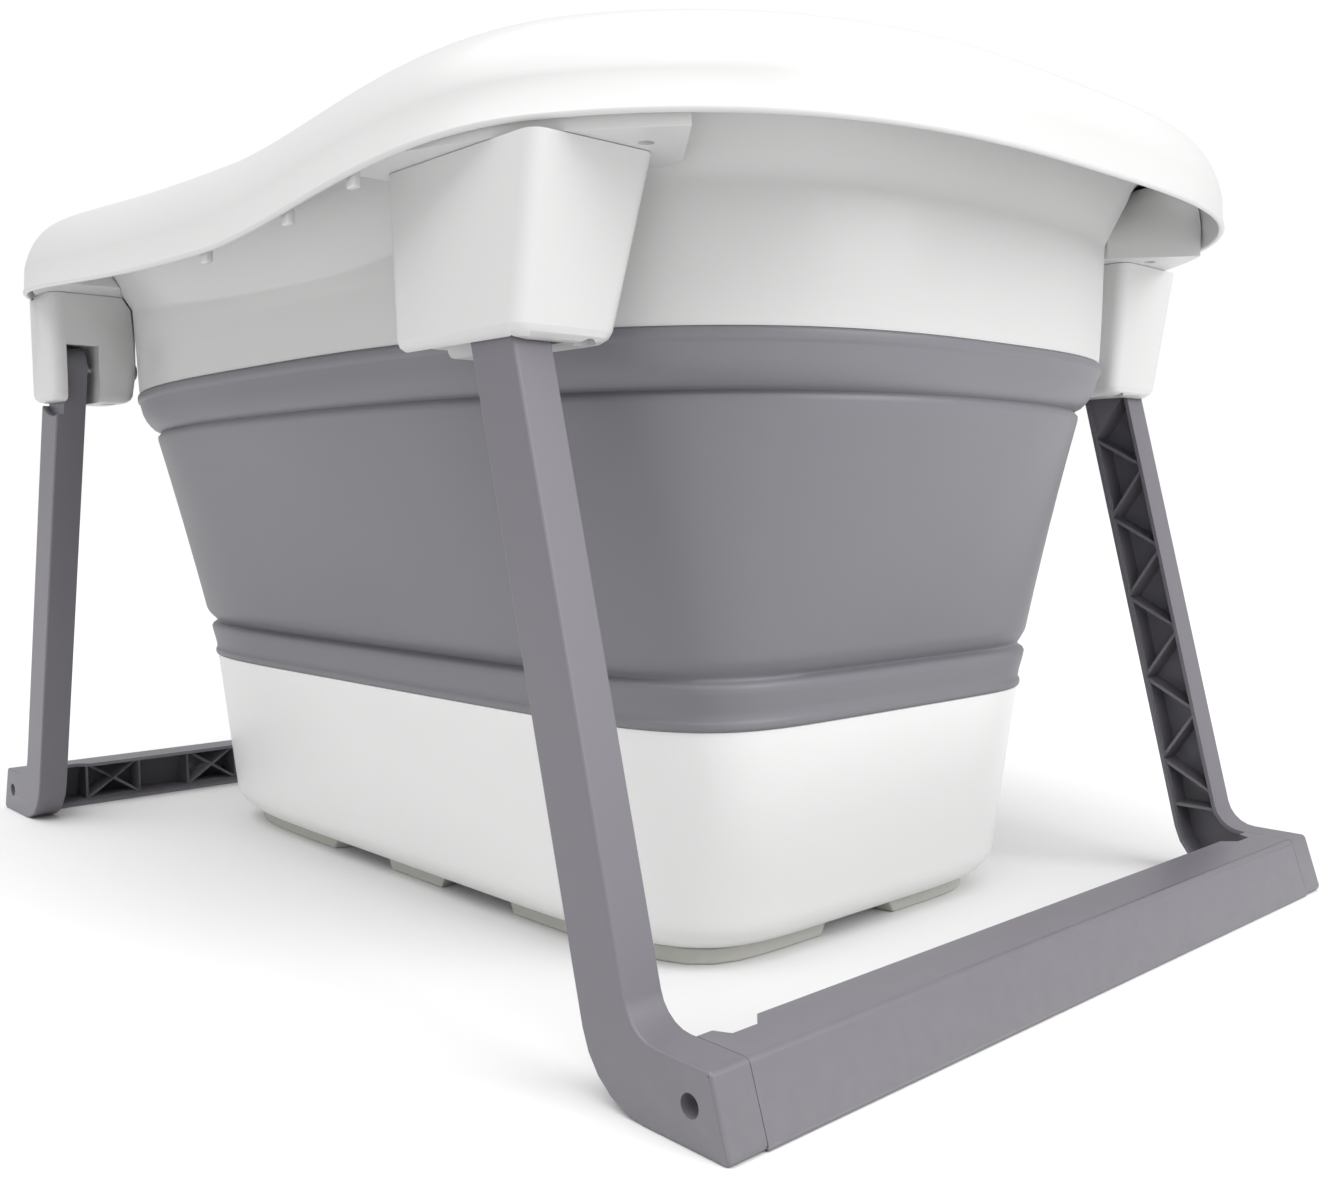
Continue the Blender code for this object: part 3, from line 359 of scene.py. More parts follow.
def edge_wear_group():
    """Edges rubbed paler by handling."""
    group, given, result = new_group(
        "Edge wear",
        [
            ("Vector", "NodeSocketVector", None),
            ("Color", "NodeSocketColor", (0.5, 0.5, 0.5, 1.0)),
            ("Worn Color", "NodeSocketColor", (0.7, 0.7, 0.7, 1.0)),
            ("Amount", "NodeSocketFloat", 0.5),
        ],
        [("Color", "NodeSocketColor")],
    )
    links = group.links
    geometry = add_node(group, "ShaderNodeNewGeometry", (-700, 100))
    edge = add_node(group, "ShaderNodeMapRange", (-450, 100))
    edge.inputs["From Min"].default_value = 0.52
    edge.inputs["From Max"].default_value = 0.60
    links.new(geometry.outputs["Pointiness"], edge.inputs["Value"])
    rub = add_node(group, "ShaderNodeTexNoise", (-700, -150))
    rub.inputs["Scale"].default_value = 60.0
    rub.inputs["Detail"].default_value = 4.0
    links.new(given.outputs["Vector"], rub.inputs["Vector"])
    rubbed = add_node(group, "ShaderNodeMath", (-250, 0), operation="MULTIPLY")
    links.new(edge.outputs["Result"], rubbed.inputs[0])
    links.new(rub.outputs["Fac"], rubbed.inputs[1])
    amount = add_node(group, "ShaderNodeMath", (-80, 0), operation="MULTIPLY")
    links.new(rubbed.outputs[0], amount.inputs[0])
    links.new(given.outputs["Amount"], amount.inputs[1])
    mix = add_node(group, "ShaderNodeMix", (100, 0), data_type="RGBA")
    links.new(amount.outputs[0], mix.inputs["Factor"])
    links.new(given.outputs["Color"], mix.inputs[6])
    links.new(given.outputs["Worn Color"], mix.inputs[7])
    links.new(mix.outputs[2], result.inputs["Color"])
    return group


def floor_dust_group():
    """Dust and splashes that gather on the lowest part of a piece."""
    group, given, result = new_group(
        "Floor dust",
        [
            ("Vector", "NodeSocketVector", None),
            ("Color", "NodeSocketColor", (0.5, 0.5, 0.5, 1.0)),
            ("Dust Color", "NodeSocketColor", (0.6, 0.58, 0.55, 1.0)),
            ("Reach", "NodeSocketFloat", 0.05),
            ("Amount", "NodeSocketFloat", 0.2),
        ],
        [("Color", "NodeSocketColor")],
    )
    links = group.links
    place = add_node(group, "ShaderNodeSeparateXYZ", (-700, 100))
    links.new(given.outputs["Vector"], place.inputs["Vector"])
    low = add_node(group, "ShaderNodeMapRange", (-450, 100), interpolation_type="SMOOTHSTEP")
    low.inputs["To Min"].default_value = 1.0
    low.inputs["To Max"].default_value = 0.0
    links.new(place.outputs["Z"], low.inputs["Value"])
    links.new(given.outputs["Reach"], low.inputs["From Max"])
    speck = add_node(group, "ShaderNodeTexNoise", (-700, -150))
    speck.inputs["Scale"].default_value = 140.0
    speck.inputs["Detail"].default_value = 6.0
    links.new(given.outputs["Vector"], speck.inputs["Vector"])
    dusty = add_node(group, "ShaderNodeMath", (-250, 0), operation="MULTIPLY")
    links.new(low.outputs["Result"], dusty.inputs[0])
    links.new(speck.outputs["Fac"], dusty.inputs[1])
    amount = add_node(group, "ShaderNodeMath", (-80, 0), operation="MULTIPLY")
    links.new(dusty.outputs[0], amount.inputs[0])
    links.new(given.outputs["Amount"], amount.inputs[1])
    mix = add_node(group, "ShaderNodeMix", (100, 0), data_type="RGBA")
    links.new(amount.outputs[0], mix.inputs["Factor"])
    links.new(given.outputs["Color"], mix.inputs[6])
    links.new(given.outputs["Dust Color"], mix.inputs[7])
    links.new(mix.outputs[2], result.inputs["Color"])
    return group


def shared_group(name, maker):
    """The node group of that name, made the first time it is asked for."""
    return bpy.data.node_groups.get(name) or maker()


def scaled(colour, factor):
    """A lighter or darker colour, with its alpha."""
    return (*(min(1.0, part * factor) for part in colour), 1.0)


def moulded(name, colour, roughness, grain, wear, dust, metallic=0.0):
    """A finish whose tone drifts, with worn edges, dust near the floor and the mould's grain."""
    found = bpy.data.materials.get(name)
    if found:
        return found
    material = bpy.data.materials.new(name)
    material.use_nodes = True
    tree = material.node_tree
    links = tree.links
    shader = tree.nodes["Principled BSDF"]
    shader.inputs["Metallic"].default_value = metallic
    coordinates = add_node(tree, "ShaderNodeTexCoord", (-1400, 0))
    place = add_node(tree, "ShaderNodeMapping", (-1200, 0))
    links.new(coordinates.outputs["Object"], place.inputs["Vector"])

    drift = add_node(tree, "ShaderNodeGroup", (-950, 300))
    drift.node_tree = shared_group("Tone drift", tone_drift_group)
    drift.inputs["Color"].default_value = scaled(colour, 1.0)
    drift.inputs["Flow Color"].default_value = scaled(colour, FLOW_TONE)
    worn = add_node(tree, "ShaderNodeGroup", (-700, 300))
    worn.node_tree = shared_group("Edge wear", edge_wear_group)
    worn.inputs["Worn Color"].default_value = scaled(colour, WORN_TONE)
    worn.inputs["Amount"].default_value = wear
    dusty = add_node(tree, "ShaderNodeGroup", (-450, 300))
    dusty.node_tree = shared_group("Floor dust", floor_dust_group)
    dusty.inputs["Amount"].default_value = dust
    grained = add_node(tree, "ShaderNodeGroup", (-700, -200))
    grained.node_tree = shared_group("Mould grain", mould_grain_group)
    grained.inputs["Grain Scale"].default_value = grain[0]
    grained.inputs["Grain Depth"].default_value = grain[1]
    grained.inputs["Roughness"].default_value = roughness
    for node in (drift, worn, dusty, grained):
        links.new(place.outputs["Vector"], node.inputs["Vector"])
    links.new(drift.outputs["Color"], worn.inputs["Color"])
    links.new(worn.outputs["Color"], dusty.inputs["Color"])
    links.new(dusty.outputs["Color"], shader.inputs["Base Color"])
    links.new(grained.outputs["Roughness"], shader.inputs["Roughness"])
    bump = add_node(tree, "ShaderNodeBump", (-350, -250))
    bump.inputs["Strength"].default_value = GRAIN_STRENGTH
    bump.inputs["Distance"].default_value = grain[2]
    links.new(grained.outputs["Height"], bump.inputs["Height"])
    links.new(bump.outputs["Normal"], shader.inputs["Normal"])
    return material


def finish_for(slot_name):
    """The finish of one of the record's material slots."""
    colours = bpy.context.scene.tub_colours
    # Scale, depth and bump distance.
    grain = {
        "fine": (1500.0, 0.5, 0.00006),
        "matt": (900.0, 0.7, 0.00012),
        "smooth": (2500.0, 0.3, 0.00003),
    }
    # Colour, roughness, grain, edge wear, dust near the floor, and metallic where it isn't zero.
    finishes = {
        "white_shell": (colours.white_shell, 0.30, grain["smooth"], 0.10, 0.0),
        "white_base": (colours.white_base, 0.34, grain["smooth"], 0.10, 0.04),
        "soft_grey": (colours.soft_grey, 0.46, grain["matt"], 0.15, 0.0),
        "leg_grey": (colours.leg_grey, 0.40, grain["fine"], 0.25, 0.06),
        "pad_grey": (colours.pad_grey, 0.70, grain["matt"], 0.10, 0.35),
        "plug_grey": (colours.plug_grey, 0.55, grain["fine"], 0.20, 0.10),
        "steel": (colours.steel, 0.28, grain["fine"], 0.40, 0.0, 1.0),
    }
    return moulded(slot_name + "_finish", *finishes[slot_name])


# Shaping


def plan_point(half_length, half_width, exponent, angle):
    """Point of a rounded plan at an angle, as (x, y)."""
    across, along = math.cos(angle), math.sin(angle)
    size = (abs(across) ** exponent + abs(along) ** exponent) ** (1 / exponent)
    return half_length * across / size, half_width * along / size


def plan_width(half_length, half_width, exponent, x):
    """Half the width of a rounded plan at x."""
    return half_width * max(0.0, 1 - abs(x / half_length) ** exponent) ** (1 / exponent)


def add_ring(shape, plans, height):
    """A circle pressed into a rounded plan. Gives its edges.

    plans is (plan, plan, share, grow), where a plan is (half length, half width, exponent). Both plans
    are grown, and the ring lies the share of the way from the first to the second. height is a number,
    or a function of x.
    """
    first, second, share, grow = plans
    made = bmesh.ops.create_circle(shape, cap_ends=False, segments=RING_STEPS, radius=1.0)
    for vert in made["verts"]:
        angle = math.atan2(vert.co.y, vert.co.x)
        start = Vector(plan_point(first[0] + grow, first[1] + grow, first[2], angle))
        end = Vector(plan_point(second[0] + grow, second[1] + grow, second[2], angle))
        x, y = start.lerp(end, share)
        vert.co = (x, y, height(x) if callable(height) else height)
    return list({edge for vert in made["verts"] for edge in vert.link_edges})


def one_plan(half_length, half_width, exponent, grow=0.0):
    """The plans of a ring that lies on a single plan."""
    plan = (half_length, half_width, exponent)
    return plan, plan, 0.0, grow


def bridge(shape, rings):
    """Joins each ring to the next with faces, and the last to the first.

    Two neighbours never lie in one level plane, because faces between them would cross the opening.
    """
    for ring, following in zip(rings, [*rings[1:], rings[0]]):
        bmesh.ops.bridge_loops(shape, edges=ring + following)


def piece_from(shape, name, material, smooth_angle=math.radians(50)):
    """Turns a bmesh into a piece with outward faces and smooth shading."""
    bmesh.ops.recalc_face_normals(shape, faces=shape.faces)
    mesh = bpy.data.meshes.new(name)
    shape.to_mesh(mesh)
    shape.free()
    mesh.materials.append(material)
    mesh.shade_smooth()
    mesh.set_sharp_from_angle(angle=smooth_angle)
    piece = bpy.data.objects.new(name, mesh)
    bpy.context.scene.collection.objects.link(piece)
    return piece


def soften_edges(piece, width, segments=3, marked_only=False):
    """Rounds the sharp edges, or only the marked ones."""
    bevel = piece.modifiers.new("marked_edges" if marked_only else "soft_edges", "BEVEL")
    bevel.width = width
    bevel.segments = segments
    bevel.limit_method = "WEIGHT" if marked_only else "ANGLE"
    bevel.angle_limit = SHARP_ANGLE
    bevel.harden_normals = True
    bevel.miter_outer = "MITER_ARC"


def dressed(node, slot_name, width, segments=3, rounder=None):
    """A merged copy of a frame node with softened edges and its finish, shown in the node's place.

    rounder is (width, test): the sharp edges that pass the test get the larger width.
    """
    shape = bmesh.new()
    shape.from_mesh(frame["nodes"][node].data)
    bmesh.ops.remove_doubles(shape, verts=shape.verts, dist=0.00001)
    flat = math.radians(0.5)
    bmesh.ops.dissolve_limit(shape, angle_limit=flat, verts=shape.verts, edges=shape.edges)
    if rounder:
        marks = shape.edges.layers.float.new("bevel_weight_edge")
        for edge in shape.edges:
            if edge.calc_face_angle(0.0) > SHARP_ANGLE and rounder[1](edge):
                edge[marks] = 1.0
    piece = piece_from(shape, node + "_moulding", finish_for(slot_name), SHARP_ANGLE)
    if rounder:
        soften_edges(piece, rounder[0], segments, marked_only=True)
    if width:
        soften_edges(piece, width, segments)
    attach(piece, body_of(node))
    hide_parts(node)


def body_of(node):
    """The body that a frame node belongs to."""
    bodies = frame["record"]["behaviour"]["bodies"]
    return next(body for body, members in bodies.items() if node in members)


# Rim shell


def lip_height(x):
    """Height of the lip's lowest edge, which dips along the sides."""
    sizes = bpy.context.scene.tub_sizes
    reach = sizes.dip_reach_head if x > sizes.dip_x else sizes.dip_reach_foot
    share = min(1.0, abs(x - sizes.dip_x) / reach)
    full = sizes.crest_height - sizes.crest_rise
    return full - sizes.lip_dip * 0.5 * (1 + math.cos(math.pi * share))


def arch_point(width, rise, angle, base, offset):
    """Point of a quarter ellipse centred under the crest, moved along its normal, as (inset, rise)."""
    normal = Vector((math.cos(angle) / width, math.sin(angle) / rise)).normalized()
    inset = bpy.context.scene.tub_sizes.crest_inset + width * math.cos(angle) + offset * normal.x
    return inset, base + rise * math.sin(angle) + offset * normal.y


def rim_arch(offset):
    """The rim's section from its lip over the crest to the basin, offset from its middle line."""
    sizes = bpy.context.scene.tub_sizes
    middle = sizes.shell_thickness / 2
    points = []
    rise = sizes.crest_rise - middle - sizes.bead_radius
    for step in range(ARCH_STEPS + 1):
        angle = math.radians(20 + 70 * step / ARCH_STEPS)
        points.append(arch_point(middle - sizes.crest_inset, rise, angle, sizes.bead_radius, offset))
    for step in range(1, ARCH_STEPS + 1):
        angle = math.radians(90 - 72 * step / ARCH_STEPS)
        width = sizes.rim_width - sizes.crest_inset
        base = sizes.crest_rise - middle - sizes.rim_drop
        points.append(arch_point(width, sizes.rim_drop, angle, base, offset))
    return points


def add_rim_ring(shape, inset, rise):
    """A ring that follows the lip at a distance in from it and up from it."""
    sizes = bpy.context.scene.tub_sizes
    plan = one_plan(sizes.lip_half_length, sizes.lip_half_width, RIM_EXPONENT, -inset)
    return add_ring(shape, plan, lambda x: lip_height(x) + rise)


def add_wall_rings(shape, grow):
    """Rings of the shell's wall from under the rim down to its bottom edge."""
    sizes = bpy.context.scene.tub_sizes
    length, width = sizes.wall_half_length + grow, sizes.wall_half_width + grow
    flare_start = RIM_LOW.z + FLARE_START_RISE
    rings = []
    for step in range(FLARE_STEPS + 1):
        share = step / FLARE_STEPS
        plan = one_plan(
            length + FLARE_LENGTH_GROW + (FLARE_START_GROW - FLARE_LENGTH_GROW) * share,
            width + FLARE_WIDTH_GROW + (FLARE_START_GROW - FLARE_WIDTH_GROW) * share,
            WALL_EXPONENT,
        )

        def height(x, share=share):
            return (lip_height(x) - FLARE_UNDER_LIP) * (1 - share) + flare_start * share

        rings.append(add_ring(shape, plan, height))
    bend = one_plan(length, width, WALL_EXPONENT, BEND_GROW)
    rings.append(add_ring(shape, bend, RIM_LOW.z + BEND_RISE))
    rings.append(add_ring(shape, one_plan(length, width, WALL_EXPONENT), RIM_LOW.z))
    return rings


class TUB_OT_rim_shell(bpy.types.Operator):
    """Rim, crest and upper wall in one white moulding"""

    bl_idname = "tub.rim_shell"
    bl_label = "Rim Shell"

    def execute(self, context):
        sizes = context.scene.tub_sizes
        half = sizes.shell_thickness / 2
        bead = sizes.bead_radius
        shape = bmesh.new()
        rings = []
        for step in range(9):
            angle = math.radians(335 - 210 * step / 8)
            inset, rise = bead * (1 + math.cos(angle)), bead * (1 + math.sin(angle))
            rings.append(add_rim_ring(shape, inset, rise))
        rings += [add_rim_ring(shape, *point) for point in rim_arch(half)]
        rings += add_wall_rings(shape, -sizes.shell_thickness)
        rings += reversed(add_wall_rings(shape, 0.0))
        rings += [add_rim_ring(shape, *point) for point in reversed(rim_arch(-half))]
        bridge(shape, rings)
        piece = piece_from(shape, "rim_shell_moulding", finish_for("white_shell"))
        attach(piece, "shell")
        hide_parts("rim_shell")
        return {"FINISHED"}


def hollow_top(x):
    """Height just under the crest, inside the rim's hollow."""
    sizes = bpy.context.scene.tub_sizes
    return lip_height(x) + sizes.crest_rise - 2.5 * sizes.shell_thickness


def wall_side(x, height):
    """|y| of a ledge's inner side: the shell's wall, or where the wall has turned away, LEDGE_REACH."""
    sizes = bpy.context.scene.tub_sizes
    length, width = sizes.lip_half_length, sizes.lip_half_width
    inner_arch = rim_arch(-sizes.shell_thickness / 2)[ARCH_STEPS + 1 :]
    joint_inset, joint_rise = inner_arch[-1]
    rise = height - lip_height(x)
    if rise > joint_rise:
        inset = next((point[0] for point in reversed(inner_arch) if point[1] >= rise), sizes.crest_inset)
        wall = plan_width(length - inset, width - inset, RIM_EXPONENT, x)
    else:
        straight = (sizes.wall_half_length + 0.0004, sizes.wall_half_width + 0.0018, WALL_EXPONENT)
        wall = plan_width(*straight, x)
        under_rim = plan_width(length - joint_inset, width - joint_inset, RIM_EXPONENT, x)
        share = (rise + FLARE_UNDER_LIP) / (joint_rise + FLARE_UNDER_LIP)
        wall += (under_rim - wall) * max(0.0, min(1.0, share))
    return max(wall + FIT, HOUSING_LOW.y - LEDGE_REACH)


def lip_side(x, height):
    """|y| of a ledge's outer side: the rim's inner face at that height."""
    sizes = bpy.context.scene.tub_sizes
    rise = height - lip_height(x)
    outer_arch = rim_arch(-sizes.shell_thickness / 2)[: ARCH_STEPS + 1]
    inset = next((point[0] for point in outer_arch if point[1] >= rise), sizes.crest_inset)
    lip = plan_width(sizes.lip_half_length - inset, sizes.lip_half_width - inset, RIM_EXPONENT, x)
    return lip - FIT


def bore(piece, centre, radius, depth):
    """Cuts a round blind hole upwards into a piece."""
    shape = bmesh.new()
    ends = {"radius1": radius, "radius2": radius, "cap_ends": True}
    bmesh.ops.create_cone(shape, segments=40, depth=2 * depth, **ends)
    bmesh.ops.translate(shape, verts=shape.verts, vec=centre)
    cutter = piece_from(shape, piece.name + "_bore", piece.data.materials[0])
    modifier = piece.modifiers.new("bore", "BOOLEAN")
    modifier.operation = "DIFFERENCE"
    modifier.solver = "EXACT"
    modifier.object = cutter
    evaluated = piece.evaluated_get(bpy.context.evaluated_depsgraph_get())
    bored = bpy.data.meshes.new_from_object(evaluated)
    piece.modifiers.remove(modifier)
    piece.data = bored
    bored.name = piece.name
    bpy.data.objects.remove(cutter)


def ledge_block(end, side, span):
    """A block that fills the hollow under the rim, from a grid raised in layers and pressed into place.

    span is (start, end at the wall, end at the lip), as distances from the middle of the tub.
    """
    start, wall_end, lip_end = span
    level = HOUSING_HIGH.z + GAP
    shape = bmesh.new()
    bmesh.ops.create_grid(shape, x_segments=28, y_segments=8, size=1.0)
    layers = [shape.faces[:]]
    for _ in range(LEDGE_LAYERS):
        raised = bmesh.ops.extrude_face_region(shape, geom=layers[-1])
        faces = [item for item in raised["geom"] if isinstance(item, bmesh.types.BMFace)]
        verts = list({vert for face in faces for vert in face.verts})
        bmesh.ops.translate(shape, verts=verts, vec=(0, 0, 1 / LEDGE_LAYERS))
        if len(layers) > 1:
            bmesh.ops.delete(shape, geom=layers[-1], context="FACES_ONLY")
        layers.append(faces)
    for vert in shape.verts:
        along, across = (vert.co.x + 1) / 2, (vert.co.y + 1) / 2
        wall_x = start + (wall_end - start) * along
        lip_x = start + (lip_end - start) * along
        x = wall_x + (lip_x - wall_x) * across
        height = level + (hollow_top(end * x) - level) * vert.co.z
        wall = wall_side(end * wall_x, height)
        lip = lip_side(end * lip_x, height)
        vert.co = (end * x, side * (wall + (lip - wall) * across), height)
    return shape


class TUB_OT_rim_ledges(bpy.types.Operator):
    """Bosses under the rim that the housings are screwed to, each with a locating hole at the head end"""

    bl_idname = "tub.rim_ledges"
    bl_label = "Rim Ledges"

    def execute(self, context):
        head_end = HOUSING_HIGH.x
        foot_end = -FOOT_HOUSING_LOW.x - LEDGE_FOOT_END
        spans = {
            "head": (
                HOUSING_LOW.x - LEDGE_HEAD_START,
                head_end - LEDGE_HEAD_END_AT_WALL,
                head_end + LEDGE_HEAD_END_AT_LIP,
            ),
            "foot": (-FOOT_HOUSING_HIGH.x - LEDGE_FOOT_START, foot_end, foot_end),
        }
        for end_name, end in ENDS.items():
            for side_name, side in SIDES.items():
                shape = ledge_block(end, side, spans[end_name])
                name = f"{end_name}_{side_name}_ledge"
                piece = piece_from(shape, name, finish_for("white_shell"), SHARP_ANGLE)
                if end_name == "head":
                    y = side * (HOUSING_LOW.y + LEDGE_HOLE_Y)
                    centre = Vector((head_end + LEDGE_HOLE_X, y, HOUSING_HIGH.z + GAP))
                    bore(piece, centre, LEDGE_HOLE_RADIUS, LEDGE_HOLE_DEPTH)
                soften_edges(piece, LEDGE_EDGE)
                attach(piece, "shell")
        return {"FINISHED"}


class TUB_OT_rim_tabs(bpy.types.Operator):
    """Small tabs moulded inside the lip along the sides"""

    bl_idname = "tub.rim_tabs"
    bl_label = "Rim Tabs"

    def execute(self, context):
        sizes = context.scene.tub_sizes
        for side_name, side in SIDES.items():
            for index, x in enumerate(TAB_PLACES):
                shape = bmesh.new()
                bmesh.ops.create_cube(shape, size=1.0)
                bmesh.ops.bevel(
                    shape,
                    geom=shape.edges[:],
                    offset=0.12,
                    offset_type="OFFSET",
                    segments=2,
                    profile=0.5,
                    affect="EDGES",
                    material=-1,
                )
                bmesh.ops.scale(shape, verts=shape.verts, vec=TAB_SIZE)
                lip = plan_width(sizes.lip_half_length, sizes.lip_half_width, RIM_EXPONENT, x)
                place = (x, side * (lip - TAB_INSET), lip_height(x) + TAB_RISE)
                bmesh.ops.translate(shape, verts=shape.verts, vec=place)
                name = f"{side_name}_rim_tab_{index + 1}"
                piece = piece_from(shape, name, finish_for("white_shell"))
                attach(piece, "shell")
        return {"FINISHED"}


# Soft wall and base


class TUB_OT_soft_wall(bpy.types.Operator):
    """Soft wall from the rim shell down to the base tray, in its open shape"""

    bl_idname = "tub.soft_wall"
    bl_label = "Folding Wall"

    def execute(self, context):
        sizes = context.scene.tub_sizes
        top, bottom = SOFT_HIGH.z, SOFT_LOW.z
        wide = (sizes.wall_half_length, sizes.wall_half_width, WALL_EXPONENT)
        narrow = (BASE_HIGH.x, BASE_HIGH.y, BASE_EXPONENT)
        flank_top = (wide[0] - 0.0035, wide[1] - 0.0035, FLANK_TOP_EXPONENT)
        flank_end = (narrow[0] + 0.0110, narrow[1] + 0.01755, FLANK_END_EXPONENT)
        upper_groove = top - 0.0270
        lower_groove = bottom + 0.0254
        shoulder = lower_groove + 0.0130
        # The section from the upper bead down to the lower one: height, two plans, share, grow.
        profile = [
            (top, wide, wide, 0.0, 0.0002),
            (top - 0.0006, wide, wide, 0.0, 0.0010),
            (top - 0.0018, wide, wide, 0.0, 0.0013),
            (top - 0.0040, wide, wide, 0.0, 0.0013),
            (top - 0.0054, wide, wide, 0.0, 0.0010),
            (top - 0.0062, wide, wide, 0.0, 0.0002),
            (top - 0.0072, wide, flank_top, 0.02, 0.0),
            (top - 0.0130, wide, flank_top, 0.15, 0.0),
            (upper_groove + 0.0090, wide, flank_top, 0.36, 0.0),
            (upper_groove + 0.0050, wide, flank_top, 0.64, 0.0),
            (upper_groove + 0.0026, wide, flank_top, 0.84, -0.0003),
            (upper_groove + 0.0012, wide, flank_top, 0.96, -0.0016),
            (upper_groove, flank_top, flank_end, 0.0, -0.0030),
            (upper_groove - 0.0012, flank_top, flank_end, 0.01, -0.0018),
            (upper_groove - 0.0026, flank_top, flank_end, 0.02, -0.0002),
            (upper_groove - 0.0050, flank_top, flank_end, 0.04, 0.0004),
        ]
        start, _, _, start_share, start_grow = profile[-1]
        flank_steps = 13
        for step in range(1, flank_steps):
            share = step / flank_steps
            height = start + (shoulder - start) * share
            way = start_share + (1 - start_share) * share
            profile.append((height, flank_top, flank_end, way, start_grow * (1 - share)))
        profile += [
            (shoulder, flank_end, narrow, 0.0, 0.0),
            (lower_groove + 0.0104, flank_end, narrow, 0.08, 0.0),
            (lower_groove + 0.0080, flank_end, narrow, 0.22, 0.0),
            (lower_groove + 0.0058, flank_end, narrow, 0.42, 0.0),
            (lower_groove + 0.0038, flank_end, narrow, 0.64, 0.0),
            (lower_groove + 0.0022, flank_end, narrow, 0.84, 0.0),
            (lower_groove + 0.0010, flank_end, narrow, 0.97, 0.0),
            (lower_groove, narrow, narrow, 0.0, 0.0),
            (lower_groove - 0.0010, narrow, narrow, 0.0, 0.0010),
            (lower_groove - 0.0022, narrow, narrow, 0.0, 0.0025),
            (lower_groove - 0.0040, narrow, narrow, 0.0, 0.0032),
            (lower_groove - 0.0070, narrow, narrow, 0.0, 0.0028),
            (bottom + 0.0100, narrow, narrow, 0.0, 0.0010),
            (bottom + 0.0056, narrow, narrow, 0.0, 0.0004),
            (bottom + 0.0046, narrow, narrow, 0.0, 0.0010),
            (bottom + 0.0036, narrow, narrow, 0.0, 0.0013),
            (bottom + 0.0014, narrow, narrow, 0.0, 0.0013),
            (bottom + 0.0003, narrow, narrow, 0.0, 0.0008),
            (bottom, narrow, narrow, 0.0, 0.0),
        ]
        shape = bmesh.new()
        rings = [add_ring(shape, (*plans, grow), height) for height, *plans, grow in profile]
        for height, *plans, grow in reversed(profile):
            inner = min(grow, 0.0) - sizes.soft_thickness
            level = max(bottom + RING_DROP, min(top - RING_DROP, height))
            rings.append(add_ring(shape, (*plans, inner), level))
        bridge(shape, rings)
        piece = piece_from(shape, "folding_wall", finish_for("soft_grey"), math.radians(60))
        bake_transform(piece)
        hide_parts("soft_wall")
        return {"FINISHED"}


class TUB_OT_base_basin(bpy.types.Operator):
    """White tray with a rounded lower edge and a drain hole"""

    bl_idname = "tub.base_basin"
    bl_label = "Base Tray"

    def execute(self, context):
        sizes = context.scene.tub_sizes
        top, bottom = BASE_HIGH.z, BASE_LOW.z
        drain_x = (PLUG_LOW.x + PLUG_HIGH.x) / 2
        shape = bmesh.new()

        def side(thickness):
            """Rings down the tray's side and round its lower corner, at a depth into the wall."""
            rings = []
            drop = RING_DROP if thickness else 0.0
            for step in range(BASE_SIDE_STEPS):
                share = step / BASE_SIDE_STEPS
                length = BASE_HIGH.x - BASE_TAPER_LENGTH * share
                width = BASE_HIGH.y - BASE_TAPER_WIDTH * share
                plan = one_plan(length, width, BASE_EXPONENT, -thickness)
                height = top + (bottom + BASE_CORNER - top) * share
                rings.append(add_ring(shape, plan, height - drop))
            length, width = BASE_HIGH.x - BASE_TAPER_LENGTH, BASE_HIGH.y - BASE_TAPER_WIDTH
            radius = BASE_CORNER - thickness
            for step in range(BASE_CORNER_STEPS + 1):
                angle = math.pi / 2 * step / BASE_CORNER_STEPS
                inset = radius * (1 - math.cos(angle)) + thickness
                plan = one_plan(length, width, BASE_EXPONENT, -inset)
                height = bottom + thickness + radius * (1 - math.sin(angle))
                rings.append(add_ring(shape, plan, height))
            return rings

        def drain_ring(radius, height):
            made = bmesh.ops.create_circle(shape, cap_ends=False, segments=RING_STEPS, radius=radius)
            bmesh.ops.translate(shape, verts=made["verts"], vec=(drain_x, 0, height))
            return list({edge for vert in made["verts"] for edge in vert.link_edges})

        outer = side(0.0)
        inner = side(sizes.base_thickness)
        floor = bottom + sizes.base_thickness
        drain = [
            drain_ring(DRAIN_RADIUS + 0.0011, bottom + RING_DROP),
            drain_ring(DRAIN_RADIUS, bottom + 0.0008),
            drain_ring(DRAIN_RADIUS, floor - 0.0009),
            drain_ring(DRAIN_RADIUS + 0.0008, floor - RING_DROP),
        ]
        bridge(shape, outer + drain + list(reversed(inner)))
        piece = piece_from(shape, "base_tray", finish_for("white_base"))
        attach(piece, "base")
        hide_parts("base_basin")
        return {"FINISHED"}


class TUB_OT_base_pads(bpy.types.Operator):
    """Rubber pads under the tray"""

    bl_idname = "tub.base_pads"
    bl_label = "Base Pads"

    def execute(self, context):
        for node in frame["nodes"]:
            if node.startswith("pad_"):
                dressed(node, "pad_grey", 0.0012)
        return {"FINISHED"}


class TUB_OT_drain_plug(bpy.types.Operator):
    """Stopper of the tray's drain"""

    bl_idname = "tub.drain_plug"
    bl_label = "Drain Plug"

    def execute(self, context):
        dressed("drain_plug", "plug_grey", 0.0006)
        return {"FINISHED"}


# Leg frames


